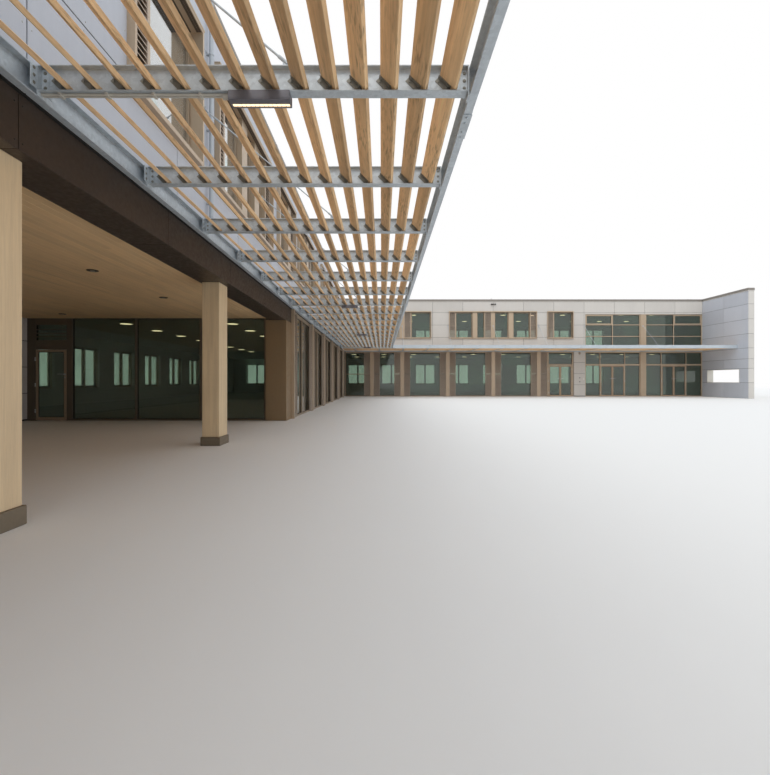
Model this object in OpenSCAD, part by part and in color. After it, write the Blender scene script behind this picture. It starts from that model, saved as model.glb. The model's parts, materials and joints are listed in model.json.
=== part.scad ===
// School building, two storeys on an L-shaped plan, as a 1:2 scale model in millimetres.
// The far wing runs along +X and the left wing runs along -Y, and their court faces meet at
// an inner corner. Every piece is drawn from that corner and then moved as a whole, so that
// the origin is under the middle of the building at ground level.
// A court face is described by u, the distance from the inner corner along the face,
// w, the distance in front of the face (negative is inside), and z, the height.

/* [Plan] */
// Length of the far wing's court face, from the inner corner to the gable wall
far_len = 14725; // [14600:25:15600]
// Length of the left wing's court face, from the inner corner to its near end
left_len = 22950; // [22950:50:24000]
// Depth of both wings
wing_d = 6875; // [6400:25:8000]
// Thickness of the outer walls
wall_t = 175; // [140:5:220]
// Thickness of the gable wall and of the fin wall in front of it
fin_t = 225; // [150:5:300]
// How far the fin wall stands out in front of the far wing
fin_out = 2415; // [2100:5:3000]

/* [Heights] */
// Height from the ground to the top of the coping
building_h = 4000; // [3900:10:4400]
// Height of the ground storey up to the underside of the upper walls
storey_z = 1850; // [1800:5:1950]
// Thickness of the first floor
first_floor_t = 130; // [100:5:180]
// Thickness of the ground floor above the paving
ground_floor_t = 20; // [10:1:40]
// Thickness of the roof
roof_t = 250; // [150:10:300]
// How far the roof lies below the top of the wall under the coping
parapet_h = 40; // [20:5:100]
// Height of the metal coping
coping_h = 110; // [80:5:140]
// How far the coping stands out from the wall on both sides
coping_over = 10; // [5:1:25]

/* [Upper windows] */
// Height of the underside of the window surrounds
win_z = 2380; // [2300:10:2450]
// Height of the window surrounds
win_h = 1120; // [900:10:1250]
// How far a surround stands out in front of the wall
surround_out = 50; // [20:1:70]
// How deep a surround reaches into the wall
surround_in = 115; // [100:1:135]
// Thickness of the surround's metal sheet
surround_t = 35; // [20:1:45]
// Width of the posts between a shutter and a pane
post_w = 25; // [15:1:40]
// Width of the closed pilaster between panes
pier_w = 195; // [160:5:200]
// Width of the narrow closed pilaster between a shutter and a pane
slim_pier_w = 150; // [120:5:195]
// Width of a shutter's field
win_shutter_w = 270; // [240:5:300]
// Width of a wide pane's field
wide_pane_w = 835; // [780:5:860]
// Width of a lone pane's field
lone_pane_w = 805; // [760:5:850]
// Width of a middling pane's field
pane_w = 700; // [650:5:720]
// Width of a small pane's field
small_pane_w = 565; // [500:5:600]
// Width of a slim pane's field
slim_pane_w = 305; // [250:5:330]
// How far the panes lie in front of the back of their surround
pane_set = 35; // [20:1:50]
// Lengths of plain wall before each window of the far wing
far_window_gaps = [1140, 735, 430]; // [300:5:1300]
// Lengths of plain wall before each window of the left wing
left_window_gaps = [2650, 495, 750, 320, 380, 370, 830, 485]; // [300:5:3000]

/* [Ground storey] */
// Width of a pilaster
pilaster_w = 140; // [120:5:200]
// How far a pilaster stands out in front of the upper wall
pilaster_out = 25; // [10:1:35]
// Centre of the far wing's first pilaster
far_first_u = 1100; // [1000:10:1200]
// Centre of the far wing's second pilaster
far_second_u = 2350; // [2300:10:2400]
// Spacing of the far wing's other pilasters
far_bay = 1875; // [1850:5:1900]
// Number of the far wing's equal bays between pilasters
far_bay_n = 3; // [3]
// Centre of the left wing's first pilaster
left_first_u = 1040; // [950:10:1100]
// Spacing of the left wing's pilasters
left_bay = 2040; // [1980:5:2050]
// Number of the left wing's equal bays between pilasters
left_bay_n = 4; // [4]
// Width of one folded louvre shutter
shutter_w = 255; // [180:5:280]
// Thickness of a louvre shutter
shutter_t = 40; // [20:1:40]
// Width of a shutter's own frame
shutter_rim = 25; // [15:1:40]
// How far a ground shutter lies behind the face of its pilaster
shutter_set = 5; // [1:1:15]
// Spacing of the louvre blades, which is evened out over a shutter's height
louvre_pitch = 38.5; // [30:0.5:60]
// How far a louvre blade leans from its foot to its head
louvre_lean = 18; // [10:1:20]
// How far the louvre blades lie behind both faces of their shutter
louvre_set = 4; // [2:1:8]
// Width of a glazing bar seen from the court
bar_w = 30; // [20:1:40]
// Depth of a glazing bar
bar_d = 75; // [50:1:90]
// How far the glazing bars lie behind the face of the upper wall
bar_set = 25; // [22:1:60]
// Height of the head rail under the upper wall
head_h = 60; // [40:5:100]
// Thickness of a glass pane
glass_t = 14; // [8:1:20]

/* [Entrance] */
// Width of the panelled pier left of the entrance glazing
pier_panel_w = 475; // [400:5:550]
// Start of the first entrance glazing
entrance_u = 9900; // [9850:5:9950]
// Width of the first entrance glazing
entrance_a_w = 2275; // [2250:5:2400]
// Width of the post between the two entrance glazings
entrance_post_w = 225; // [150:5:300]
// Width of the side light left of the first entrance door
sidelight_a = 619; // [500:1:700]
// Width of the side light left of the second entrance door
sidelight_b = 647; // [500:1:700]
// Clear width between the glazing bars of an entrance door
entrance_door_w = 994; // [900:2:1040]
// Clear width between the glazing bars of the court door
court_door_w = 955; // [880:5:975]
// Width of the court door's jambs
court_jamb_w = 70; // [40:5:90]
// Height of the top of the entrance glazing
entrance_top = 3385; // [3300:5:3500]
// How far the rail under the upper glazing stands above the first floor
upper_rail_over = 10; // [5:1:40]
// Height of the upper glazing's lower transom
transom_low_z = 2475; // [2300:5:2600]
// Height of the upper glazing's upper transom
transom_high_z = 2950; // [2800:5:3100]

/* [Doors] */
// Height of the top of the court door leaves
door_top = 1265; // [1150:5:1350]
// Height of the top of the recess door leaf
recess_door_top = 1140; // [1050:5:1250]
// Clear width of the recess door
recess_door_w = 500; // [430:5:520]
// Distance of the recess door's opening from the side wall
recess_door_from = 135; // [100:5:200]
// Width of the post beside the recess door
recess_post_w = 90; // [40:5:120]
// Thickness of a door leaf
leaf_t = 30; // [20:1:40]
// Width of a door leaf's stiles and rails
leaf_rim = 45; // [30:1:60]
// Gap round a door leaf
door_gap = 7; // [6:0.5:10]
// Radius of a hinge's knuckles
knuckle_r = 4.5; // [3:0.5:8]
// Height of a hinge
hinge_h = 60; // [40:5:90]
// Distance of the outer hinges' middles from a leaf's ends
hinge_from = 150; // [100:5:250]
// Height of the transom over a door
transom_h = 60; // [40:5:80]

/* [Covered area] */
// Start of the covered area, at the near face of its bronze pillar
recess_u = 11800; // [11750:10:11900]
// Spacing of the timber columns
column_pitch = 2767; // [2700:1:2800]
// Number of bays of the covered area
column_bay_n = 3; // [3]
// Number of panes across each end of the covered area
recess_pane_n = 3; // [2:1:4]
// Depth of the covered area behind the court face
recess_d = 4200; // [3800:10:4600]
// Underside of the timber soffit
soffit_z = 1645; // [1620:5:1700]
// Thickness of the timber soffit
soffit_t = 25; // [15:1:40]
// Underside of the dark fascia beam
fascia_z = 1615; // [1560:5:1640]
// Width of the fascia beam
fascia_w = 275; // [240:5:320]
// How far the fascia beam lies behind the face of the upper wall
fascia_set = 25; // [10:1:40]
// Width of a timber column across the face
column_w = 170; // [120:5:220]
// Length of a timber column along the face
column_l = 240; // [180:5:300]
// How far a column lies behind the face of the upper wall
column_set = 100; // [60:5:120]
// Height of a column's metal base
base_h = 85; // [50:5:120]
// How far a base stands out round its column
base_out = 12; // [5:1:20]
// Length of a bronze pillar along the face
pillar_l = 400; // [300:10:450]
// Width of a bronze pillar
pillar_w = 335; // [280:5:400]
// Width of the narrow jamb between a pillar and its shutter
jamb_w = 75; // [50:5:100]

/* [Canopies] */
// How far the slatted canopies reach out from the court faces
canopy_w = 1910; // [1850:10:2050]
// Height of the steel channels
channel_h = 120; // [100:2:130]
// Width of a channel's flanges
channel_flange = 37.5; // [25:0.5:50]
// Thickness of a channel's web and flanges
channel_t = 6; // [4:0.5:8]
// Height of a cross beam
beam_h = 110; // [105:1:120]
// Width of a cross beam
beam_w = 55; // [40:1:70]
// Thickness of a beam's flanges
beam_flange_t = 4.6; // [3:0.2:8]
// Thickness of a beam's web
beam_web_t = 3; // [2:0.2:6]
// Thickness of a beam's end plates
end_plate_t = 6; // [4:0.5:10]
// How high the cross beams lie above the underside of the channels
beam_lift = 20; // [5:1:30]
// Spacing of the cross beams
beam_pitch = 937.5; // [900:2.5:940]
// First cross beam of the far canopy
far_beam_u = 475; // [400:5:520]
// Number of equal spacings of the far canopy's cross beams
far_beam_n = 10; // [10]
// Spacing of the cross beams in front of the entrance
entrance_beam_pitch = 1212.5; // [1100:2.5:1250]
// Number of spacings of the cross beams in front of the entrance
entrance_beam_n = 3; // [3]
// First cross beam of the left canopy, from the inner corner
left_beam_u = 2290; // [2200:5:2350]
// Number of timber slats across a canopy
slat_n = 14; // [10:1:14]
// Spacing of the timber slats
slat_pitch = 126.5; // [120:0.5:132]
// Distance of the first slat from the wall
slat_first_w = 141; // [110:1:150]
// Width of a slat
slat_w = 90; // [60:1:95]
// Thickness of a slat
slat_t = 20; // [12:1:28]
// Gap between a slat and the beams that carry it
slat_gap = 0.2; // [0:0.1:0.8]
// Diameter of a stay rod
rod_d = 15; // [10:1:20]
// Height at which a stay rod meets the wall
rod_z = 2900; // [2800:10:3000]
// Distance from the wall at which a stay rod meets its beam
rod_w = 1100; // [900:10:1300]
// Thickness of a stay rod's wall plate and lug
rod_plate_t = 8; // [5:0.5:12]
// Length of a lamp along its beam
lamp_l = 260; // [200:5:300]
// Width of a lamp
lamp_w = 68; // [50:2:90]
// Height of a lamp
lamp_h = 40; // [25:1:60]
// Distance of a lamp from the wall
lamp_from_w = 850; // [700:10:1000]

/* [Fin window] */
// Distance of the opening in the fin wall from the far wing's face
fin_hole_w = 300; // [200:10:400]
// Length of the opening in the fin wall
fin_hole_l = 1700; // [1200:10:1750]
// Height of the opening's underside
fin_hole_z = 570; // [400:10:700]
// Height of the opening
fin_hole_h = 505; // [400:5:600]
// Thickness of the opening's metal lining
lining_t = 12; // [8:1:20]
// How far the lining stands out on both sides
lining_out = 8; // [4:1:15]

/* [Plain sides] */
// Spacing of the windows in the unseen walls
plain_bay = 1875; // [1800:25:2000]
// Width of a window in the unseen walls
plain_win_w = 1125; // [900:25:1300]
// Sill height of the ground windows in the unseen walls
plain_sill_z = 450; // [400:10:550]

/* [Hidden] */

joint = 2;
eps = 0.5;
mid_x = (far_len + fin_t - wing_d) / 2;
mid_y = (wing_d - left_len) / 2;
wall_top = building_h - coping_h;
roof_top = wall_top - parapet_h;
slab_top = storey_z + first_floor_t;

function last(list) = list[len(list) - 1];

// A place worked out by a division is a whole millimetre, so that its neighbours meet exactly
function whole(x) = round(x);

// Far wing
far_pilasters = [far_first_u, for (i = [0 : far_bay_n]) far_second_u + i * far_bay];
pier_u = entrance_u - pier_panel_w;
court_door_u = pier_u - court_jamb_w - court_door_w;
post_u = entrance_u + entrance_a_w;
entrance_b_u = post_u + entrance_post_w;
entrance_b_w = far_len - entrance_b_u;
door_a_u = entrance_u + sidelight_a + bar_w / 2;
door_b_u = entrance_b_u + sidelight_b + bar_w / 2;

// Left wing
left_pilasters = [for (i = [0 : left_bay_n]) left_first_u + i * left_bay];
recess_l = column_bay_n * column_pitch;
recess_end_u = recess_u + recess_l;
pillar_u = [recess_u - pillar_l, recess_end_u];
near_jamb_u = recess_end_u + pillar_l;
behind_pillar = -fascia_set - pillar_w;

// Plane of the ground storey glazing
front = -bar_set;
rear = -bar_set - bar_d;
glass_w0 = -bar_set - bar_d / 2 - glass_t / 2;
glass_w1 = glass_w0 + glass_t;
head_z = storey_z - head_h;

// Canopies
beam_z = storey_z + beam_lift;
beam_from = channel_flange;
beam_to = canopy_w - channel_flange;
far_beams_even = [for (i = [0 : far_beam_n]) far_beam_u + i * beam_pitch];
far_beams = concat(far_beams_even,
    [for (i = [1 : entrance_beam_n]) last(far_beams_even) + i * entrance_beam_pitch]);
left_beam_n = floor((left_len - beam_w / 2 + eps - left_beam_u) / beam_pitch);
left_beams = [for (i = [0 : left_beam_n]) left_beam_u + i * beam_pitch];
slat_reach = (slat_w + slat_t) / 2 * cos(45);
slat_z = beam_z + beam_flange_t + slat_gap + slat_reach;
lamp_beam_n = [0, 5, 10, 16];

// Upper windows: the kinds and widths of their fields from the corner outwards.
// S is a shutter, G a pane and P a closed pilaster.
shutter_field = ["S", win_shutter_w];
pier_field = ["P", pier_w];
twin_window = [["G", wide_pane_w], shutter_field, pier_field, shutter_field, ["G", wide_pane_w]];
long_window = [shutter_field, ["G", pane_w], pier_field, ["G", slim_pane_w], shutter_field,
    ["P", slim_pier_w], ["G", small_pane_w], pier_field, ["G", pane_w], shutter_field];
small_window = [shutter_field, pier_field, ["G", small_pane_w], shutter_field];
mixed_window = [shutter_field, ["G", slim_pane_w], pier_field, ["G", slim_pane_w], pier_field,
    ["G", small_pane_w], shutter_field];
pane_then_shutter = [["G", lone_pane_w], shutter_field];
shutter_then_pane = [shutter_field, ["G", lone_pane_w]];

function field_start(fields, i) = i == 0 ? 0 : field_start(fields, i - 1) + fields[i - 1][1];
function group_len(fields) = field_start(fields, len(fields));

// Each window's start and fields, from the lengths of plain wall before the windows
function window_start(kinds, gaps, i) =
    gaps[i] + (i == 0 ? 0 : window_start(kinds, gaps, i - 1) + group_len(kinds[i - 1]));
function windows(kinds, gaps) = [for (i = [0 : len(kinds) - 1]) [window_start(kinds, gaps, i), kinds[i]]];
far_windows = windows([twin_window, long_window, shutter_then_pane], far_window_gaps);
left_windows = windows([pane_then_shutter, long_window, twin_window, small_window, mixed_window,
    pane_then_shutter, long_window, pane_then_shutter], left_window_gaps);

// The whole building, moved so that the origin is under its middle
module placed() {
    translate([-mid_x, -mid_y, 0])
        children();
}

// Turns the far court face into the left court face
module on_left() {
    mirror([1, 1, 0])
        children();
}

// A straight block from its limits along, in front of and up a court face
module block(u0, u1, w0, w1, z0, z1) {
    translate([u0, -w1, z0])
        cube([u1 - u0, w1 - w0, z1 - z0]);
}

// An upright rectangular ring in a court face, open from front to back
module ring(u0, u1, w0, w1, z0, z1, side, top) {
    difference() {
        block(u0, u1, w0, w1, z0, z1);
        block(u0 + side, u1 - side, w0 - 1, w1 + 1, z0 + top, z1 - top);
    }
}

// Louvre blades in front of a closed back, each with its foot in front of its head
module louvres(u0, u1, w0, w1, z0, z1) {
    n = round((z1 - z0) / louvre_pitch);
    step = (z1 - z0) / n;
    foot = w1 - louvre_set;
    profile = [[-w0 - louvre_set, z0], for (i = [0 : n - 1]) each [[-foot, z0 + i * step],
        [-foot + louvre_lean, z0 + (i + 1) * step]], [-w0 - louvre_set, z1]];
    translate([u0, 0, 0])
        rotate([90, 0, 90])
            linear_extrude(u1 - u0)
                polygon(profile);
}

// A framed louvre shutter with a middle rail
module shutter(u0, u1, w0, w1, z0, z1) {
    mid = (z0 + z1) / 2;
    ring(u0, u1, w0, w1, z0, z1, shutter_rim, shutter_rim);
    block(u0 + shutter_rim, u1 - shutter_rim, w0, w1, mid - shutter_rim / 2, mid + shutter_rim / 2);
    for (z = [[z0 + shutter_rim, mid - shutter_rim / 2], [mid + shutter_rim / 2, z1 - shutter_rim]])
        louvres(u0 + shutter_rim, u1 - shutter_rim, w0, w1, z[0], z[1]);
}

// One upper window: its protruding surround with the posts between its fields
module surround(start, fields) {
    end = start + group_len(fields);
    top = win_z + win_h;
    ring(start, end, -surround_in, surround_out, win_z, top, post_w, surround_t);
    for (i = [0 : len(fields) - 1]) {
        from = start + field_start(fields, i);
        if (fields[i][0] == "P")
            block(from, from + fields[i][1], -surround_in, 0, win_z + eps, top - eps);
        else if (i > 0 && fields[i - 1][0] != "P")
            block(from - post_w / 2, from + post_w / 2, -surround_in, 0, win_z + eps, top - eps);
    }
}

// Where a field of an upper window begins and ends between its posts
function field_from(start, fields, i) = start + field_start(fields, i)
    + (i == 0 ? post_w : fields[i - 1][0] == "P" ? 0 : post_w / 2);
function field_to(start, fields, i) = start + field_start(fields, i + 1)
    - (i == len(fields) - 1 ? post_w : fields[i + 1][0] == "P" ? 0 : post_w / 2);

module window_field(start, fields, kind, w0, w1) {
    for (i = [0 : len(fields) - 1])
        if (fields[i][0] == kind)
            if (kind == "S")
                shutter(field_from(start, fields, i), field_to(start, fields, i), w0, w1,
                    win_z + surround_t, win_z + win_h - surround_t);
            else
                block(field_from(start, fields, i), field_to(start, fields, i), w0, w1,
                    win_z + surround_t, win_z + win_h - surround_t);
}

// The plain windows of an unseen wall, as a row of start positions
function plain_row(from, to) =
    let (n = floor((to - from) / plain_bay), margin = ((to - from) - n * plain_bay) / 2)
    [for (i = [0 : n - 1]) from + margin + i * plain_bay + (plain_bay - plain_win_w) / 2];

module plain_cut(starts) {
    for (s = starts, z = [plain_sill_z, win_z])
        block(s, s + plain_win_w, -wall_t - 1, 1, z, z + win_h);
}

module plain_surrounds(starts) {
    for (s = starts, z = [plain_sill_z, win_z]) {
        ring(s, s + plain_win_w, -surround_in, 0, z, z + win_h, post_w, surround_t);
        block(s + (plain_win_w - post_w) / 2, s + (plain_win_w + post_w) / 2, -surround_in, 0,
            z + eps, z + win_h - eps);
    }
}

module plain_glass(starts) {
    for (s = starts, z = [plain_sill_z, win_z], side = [0, 1]) {
        half = (plain_win_w - 3 * post_w) / 2;
        from = s + post_w + side * (half + post_w);
        block(from, from + half, -surround_in / 2 - glass_t / 2, -surround_in / 2 + glass_t / 2,
            z + surround_t, z + win_h - surround_t);
    }
}

back_row = plain_row(0, far_len + wing_d);
outer_row = plain_row(0, left_len + wing_d - wall_t);
end_row = plain_row(0, wing_d - 2 * wall_t);

// The unseen faces, each as seen from outside with u to the right and its start at u = 0
module on_back() {
    translate([far_len, wing_d, 0])
        rotate([0, 0, 180])
            children();
}
module on_outer() {
    translate([-wing_d, wing_d - wall_t, 0])
        rotate([0, 0, -90])
            children();
}
module on_end() {
    translate([-wing_d + wall_t, -left_len, 0])
        children();
}

// Floors and roof
module ground_floor() {
    inner_u = -wing_d + wall_t;
    color("Gainsboro")
        placed() {
            block(inner_u, far_len, -wing_d + wall_t, -wall_t, 0, ground_floor_t);
            on_left() {
                block(-wall_t + joint, pillar_u[0] - joint, inner_u, -wall_t, 0, ground_floor_t);
                block(pillar_u[0], recess_u + rear, inner_u, behind_pillar, 0, ground_floor_t);
                block(recess_u + rear + joint, recess_end_u - rear, inner_u, -recess_d - wall_t,
                    0, ground_floor_t);
                block(recess_end_u - rear + joint, near_jamb_u, inner_u, behind_pillar, 0, ground_floor_t);
                block(near_jamb_u + joint, left_len - wall_t, inner_u, -wall_t, 0, ground_floor_t);
            }
        }
}

module two_wings(z0, z1) {
    inner_u = -wing_d + wall_t;
    block(inner_u, far_len, -wing_d + wall_t, -wall_t, z0, z1);
    translate([inner_u, -left_len + wall_t, z0])
        cube([-wall_t - inner_u, left_len - joint, z1 - z0]);
}

module first_floor() {
    color("LightGray")
        placed()
            two_wings(storey_z, slab_top);
}

module roof_slabs() {
    color("DarkGray")
        placed()
            two_wings(roof_top - roof_t, roof_top);
}

module roof_copings() {
    o = coping_over;
    in = wall_t + o;
    color("DimGray")
        placed()
            translate([0, 0, wall_top])
                linear_extrude(coping_h) {
                    translate([-in, -left_len - o])
                        square([in + o, left_len + o + in]);
                    translate([o + joint, -o])
                        square([far_len - 2 * o - 2 * joint, in + o]);
                    translate([far_len - o, -fin_out - o])
                        square([fin_t + 2 * o, fin_out + wing_d + 2 * o]);
                    translate([-wing_d - o, wing_d - in])
                        square([wing_d + far_len - joint, in + o]);
                    translate([-wing_d - o, -left_len - o])
                        square([in + o, left_len + o + wing_d - in - joint]);
                    translate([-wing_d + in + joint, -left_len - o])
                        square([wing_d - 2 * in - 2 * joint, in + o]);
                }
}

// Walls
module far_upper_wall() {
    color("Silver")
        placed()
            difference() {
                block(0, entrance_u, -wall_t, 0, storey_z, wall_top);
                for (g = far_windows)
                    block(g[0], g[0] + group_len(g[1]), -wall_t - 1, 1, win_z, win_z + win_h);
            }
}

module left_upper_wall() {
    color("Silver")
        placed()
            on_left()
                difference() {
                    block(-wall_t, left_len, -wall_t, 0, storey_z, wall_top);
                    for (g = left_windows)
                        block(g[0], g[0] + group_len(g[1]), -wall_t - 1, 1, win_z, win_z + win_h);
                }
}

module entrance_header() {
    color("Silver")
        placed()
            block(entrance_u, far_len, -wall_t, 0, entrance_top, wall_top);
}

module entrance_pier() {
    color("Silver")
        placed()
            block(pier_u, entrance_u, -wall_t, 0, 0, storey_z);
}

module entrance_post() {
    color("RosyBrown")
        placed()
            block(post_u, entrance_b_u, -wall_t, 0, 0, entrance_top);
}

module back_wall() {
    color("Silver")
        placed()
            on_back()
                difference() {
                    block(0, far_len + wing_d, -wall_t, 0, 0, wall_top);
                    plain_cut(back_row);
                }
}

module outer_wall() {
    color("Silver")
        placed()
            on_outer()
                difference() {
                    block(0, left_len + wing_d - wall_t, -wall_t, 0, 0, wall_top);
                    plain_cut(outer_row);
                }
}

module end_wall() {
    color("Silver")
        placed()
            on_end()
                difference() {
                    block(0, wing_d - 2 * wall_t, -wall_t, 0, 0, wall_top);
                    plain_cut(end_row);
                }
}

module gable_wall() {
    color("Silver")
        placed()
            block(far_len, far_len + fin_t, -wing_d, 0, 0, wall_top);
}

module fin_wall() {
    color("Silver")
        placed()
            difference() {
                block(far_len, far_len + fin_t, 0, fin_out, 0, wall_top);
                block(far_len - 1, far_len + fin_t + 1, fin_hole_w, fin_hole_w + fin_hole_l,
                    fin_hole_z, fin_hole_z + fin_hole_h);
            }
}

module fin_window_lining() {
    color("Wheat")
        placed()
            difference() {
                block(far_len - lining_out, far_len + fin_t + lining_out, fin_hole_w,
                    fin_hole_w + fin_hole_l, fin_hole_z, fin_hole_z + fin_hole_h);
                block(far_len - lining_out - 1, far_len + fin_t + lining_out + 1, fin_hole_w + lining_t,
                    fin_hole_w + fin_hole_l - lining_t, fin_hole_z + lining_t,
                    fin_hole_z + fin_hole_h - lining_t);
            }
}

// Covered area
module recess_side_wall() {
    color("DarkGray")
        placed()
            on_left()
                block(recess_u + rear, recess_end_u - rear, -recess_d - wall_t, -recess_d, 0, storey_z);
}

module fascia_beam() {
    color("#3a302a")
        placed()
            on_left()
                block(pillar_u[0], near_jamb_u, -fascia_set - fascia_w, -fascia_set, fascia_z, storey_z);
}

module timber_soffit() {
    color("BurlyWood")
        placed()
            on_left()
                block(recess_u + front, recess_end_u - front, -recess_d, -fascia_set - fascia_w,
                    soffit_z, soffit_z + soffit_t);
}

module each_column() {
    for (i = [1 : column_bay_n - 1])
        translate([recess_u + i * column_pitch, 0, 0])
            children();
}

module timber_columns() {
    color("Tan")
        placed()
            on_left()
                each_column()
                    block(-column_l / 2, column_l / 2, -column_set - column_w, -column_set,
                        base_h, fascia_z);
}

module column_bases() {
    color("#4a4038")
        placed()
            on_left()
                each_column()
                    block(-column_l / 2 - base_out, column_l / 2 + base_out,
                        -column_set - column_w - base_out, -column_set + base_out, 0, base_h);
}

module bronze_pillars() {
    color("#6b5740")
        placed()
            on_left()
                for (u = pillar_u)
                    block(u, u + pillar_l, behind_pillar, -fascia_set, 0, fascia_z);
}

// Ground storey of both court faces
module pilaster(u0, u1) {
    block(u0, u1, -wall_t, pilaster_out, 0, storey_z);
}

module pilasters() {
    color("#a48c76")
        placed() {
            for (u = far_pilasters)
                pilaster(u - pilaster_w / 2, u + pilaster_w / 2);
            on_left() {
                for (u = left_pilasters)
                    pilaster(u - pilaster_w / 2, u + pilaster_w / 2);
                pilaster(pillar_u[0] - jamb_w, pillar_u[0]);
                pilaster(near_jamb_u, near_jamb_u + jamb_w);
                pilaster(left_len - pilaster_w, left_len);
            }
        }
}

// The glazed bays of a court face, each as [start, end, bars]
function bays(centres) = [for (i = [0 : len(centres) - 2])
    [centres[i] + pilaster_w / 2, centres[i + 1] - pilaster_w / 2]];
far_bays = concat([[0, far_first_u - pilaster_w / 2]], bays(far_pilasters));
door_bay = [last(far_pilasters) + pilaster_w / 2, pier_u];
left_bays = concat([[0, left_first_u - pilaster_w / 2]], bays(left_pilasters),
    [[last(left_pilasters) + pilaster_w / 2, pillar_u[0] - jamb_w],
     [near_jamb_u + jamb_w, left_len - pilaster_w]]);

// Where the bars of a bay begin. A wide bay of the left wing has a bar in its middle.
function bars(bay, middle) = concat([bay[0]],
    middle ? [whole((bay[0] + bay[1] - bar_w) / 2)] : [], [bay[1] - bar_w]);
function has_middle(bay) = bay[1] - bay[0] > 4 * shutter_w;

module bay_mullions(bay, middle) {
    for (u = bars(bay, middle))
        block(u, u + bar_w, rear, front, bar_w, head_z);
}

module bay_rails(bay) {
    block(bay[0], bay[1], rear, front, 0, bar_w);
    block(bay[0], bay[1], rear, front, head_z, storey_z);
}

module bay_glass(bay, middle) {
    at = bars(bay, middle);
    for (i = [0 : len(at) - 2])
        block(at[i] + bar_w, at[i + 1], glass_w0, glass_w1, bar_w, head_z);
}

// Glazing across both ends of the covered area, as panes between their bars
recess_head_to = -fascia_set - fascia_w;
recess_door_u = -recess_d + recess_door_from;
recess_door_end = recess_door_u + recess_door_w;
recess_pane_u = recess_door_end + recess_post_w;
recess_pane_end = behind_pillar - bar_w;
recess_pane_pitch = whole((recess_pane_end + bar_w - recess_pane_u) / recess_pane_n);
recess_panes = [for (i = [0 : recess_pane_n - 1])
    let (from = recess_pane_u + i * recess_pane_pitch)
        [from, i == recess_pane_n - 1 ? recess_pane_end : from + recess_pane_pitch - bar_w]];

module on_recess() {
    translate([0, -recess_u, 0])
        children();
}

module on_recess_near() {
    translate([0, -recess_end_u, 0])
        mirror([0, 1, 0])
            children();
}

module recess_mullions() {
    for (pane = recess_panes)
        block(pane[1], pane[1] + bar_w, rear, front, bar_w, soffit_z);
    block(recess_door_end, recess_pane_u, rear, front, bar_w, soffit_z);
    block(-recess_d, recess_door_u, rear, front, bar_w, soffit_z);
}

module recess_glass() {
    for (pane = recess_panes)
        block(pane[0], pane[1], glass_w0, glass_w1, bar_w, soffit_z);
}

over_recess_door = recess_door_top + door_gap;

module ground_mullions() {
    color("#8d7660")
        placed() {
            for (bay = far_bays)
                bay_mullions(bay, false);
            block(door_bay[0], door_bay[0] + bar_w, rear, front, bar_w, head_z);
            for (u = [court_door_u - court_jamb_w, court_door_u + court_door_w])
                block(u, u + court_jamb_w, rear, front, bar_w, head_z);
            on_left()
                for (bay = left_bays)
                    bay_mullions(bay, has_middle(bay));
            on_recess()
                recess_mullions();
            on_recess_near()
                recess_mullions();
        }
}

module ground_rails() {
    over = door_top + door_gap;
    color("#8d7660")
        placed() {
            for (bay = far_bays)
                bay_rails(bay);
            block(door_bay[0], court_door_u, rear, front, 0, bar_w);
            block(court_door_u + court_door_w, pier_u, rear, front, 0, bar_w);
            block(court_door_u, court_door_u + court_door_w, rear, front, over, over + transom_h);
            block(door_bay[0], pier_u, rear, front, head_z, storey_z);
            on_left()
                for (bay = left_bays)
                    bay_rails(bay);
            on_recess() {
                block(-recess_d, recess_door_u, rear, front, 0, bar_w);
                block(recess_door_end, behind_pillar, rear, front, 0, bar_w);
                block(recess_door_u, recess_door_end, rear, front, over_recess_door,
                    over_recess_door + transom_h);
                block(-recess_d, recess_head_to, rear, front, soffit_z, storey_z);
            }
            on_recess_near() {
                block(-recess_d, behind_pillar, rear, front, 0, bar_w);
                block(-recess_d, recess_head_to, rear, front, soffit_z, storey_z);
            }
        }
}

module ground_glass() {
    over = door_top + door_gap + transom_h;
    color("DarkSlateGray", 0.6)
        placed() {
            for (bay = far_bays)
                bay_glass(bay, false);
            block(door_bay[0] + bar_w, court_door_u - court_jamb_w, glass_w0, glass_w1, bar_w, head_z);
            block(court_door_u, court_door_u + court_door_w, glass_w0, glass_w1, over, head_z);
            on_left()
                for (bay = left_bays)
                    bay_glass(bay, has_middle(bay));
            on_recess() {
                recess_glass();
                block(recess_door_u, recess_door_end, glass_w0, glass_w1,
                    over_recess_door + transom_h, soffit_z);
            }
            on_recess_near() {
                recess_glass();
                block(recess_door_u, recess_door_end, glass_w0, glass_w1, bar_w, soffit_z);
            }
        }
}

module ground_shutters() {
    w1 = pilaster_out - shutter_set;
    w0 = w1 - shutter_t;
    z0 = bar_w;
    z1 = storey_z - bar_w;
    color("#87735f")
        placed() {
            for (u = far_pilasters, side = [0, 1]) {
                from = side ? u + pilaster_w / 2 : u - pilaster_w / 2 - shutter_w;
                shutter(from, from + shutter_w, w0, w1, z0, z1);
            }
            on_left() {
                for (u = left_pilasters, side = [0, 1]) {
                    from = side ? u + pilaster_w / 2 : u - pilaster_w / 2 - shutter_w;
                    shutter(from, from + shutter_w, w0, w1, z0, z1);
                }
                for (u = [pillar_u[0] - jamb_w - shutter_w, near_jamb_u + jamb_w,
                          left_len - pilaster_w - shutter_w])
                    shutter(u, u + shutter_w, w0, w1, z0, z1);
            }
        }
}

// Upper windows
module window_surrounds() {
    color("#5b4a3c")
        placed() {
            for (g = far_windows)
                surround(g[0], g[1]);
            on_left()
                for (g = left_windows)
                    surround(g[0], g[1]);
            on_back()
                plain_surrounds(back_row);
            on_outer()
                plain_surrounds(outer_row);
            on_end()
                plain_surrounds(end_row);
        }
}

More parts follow.
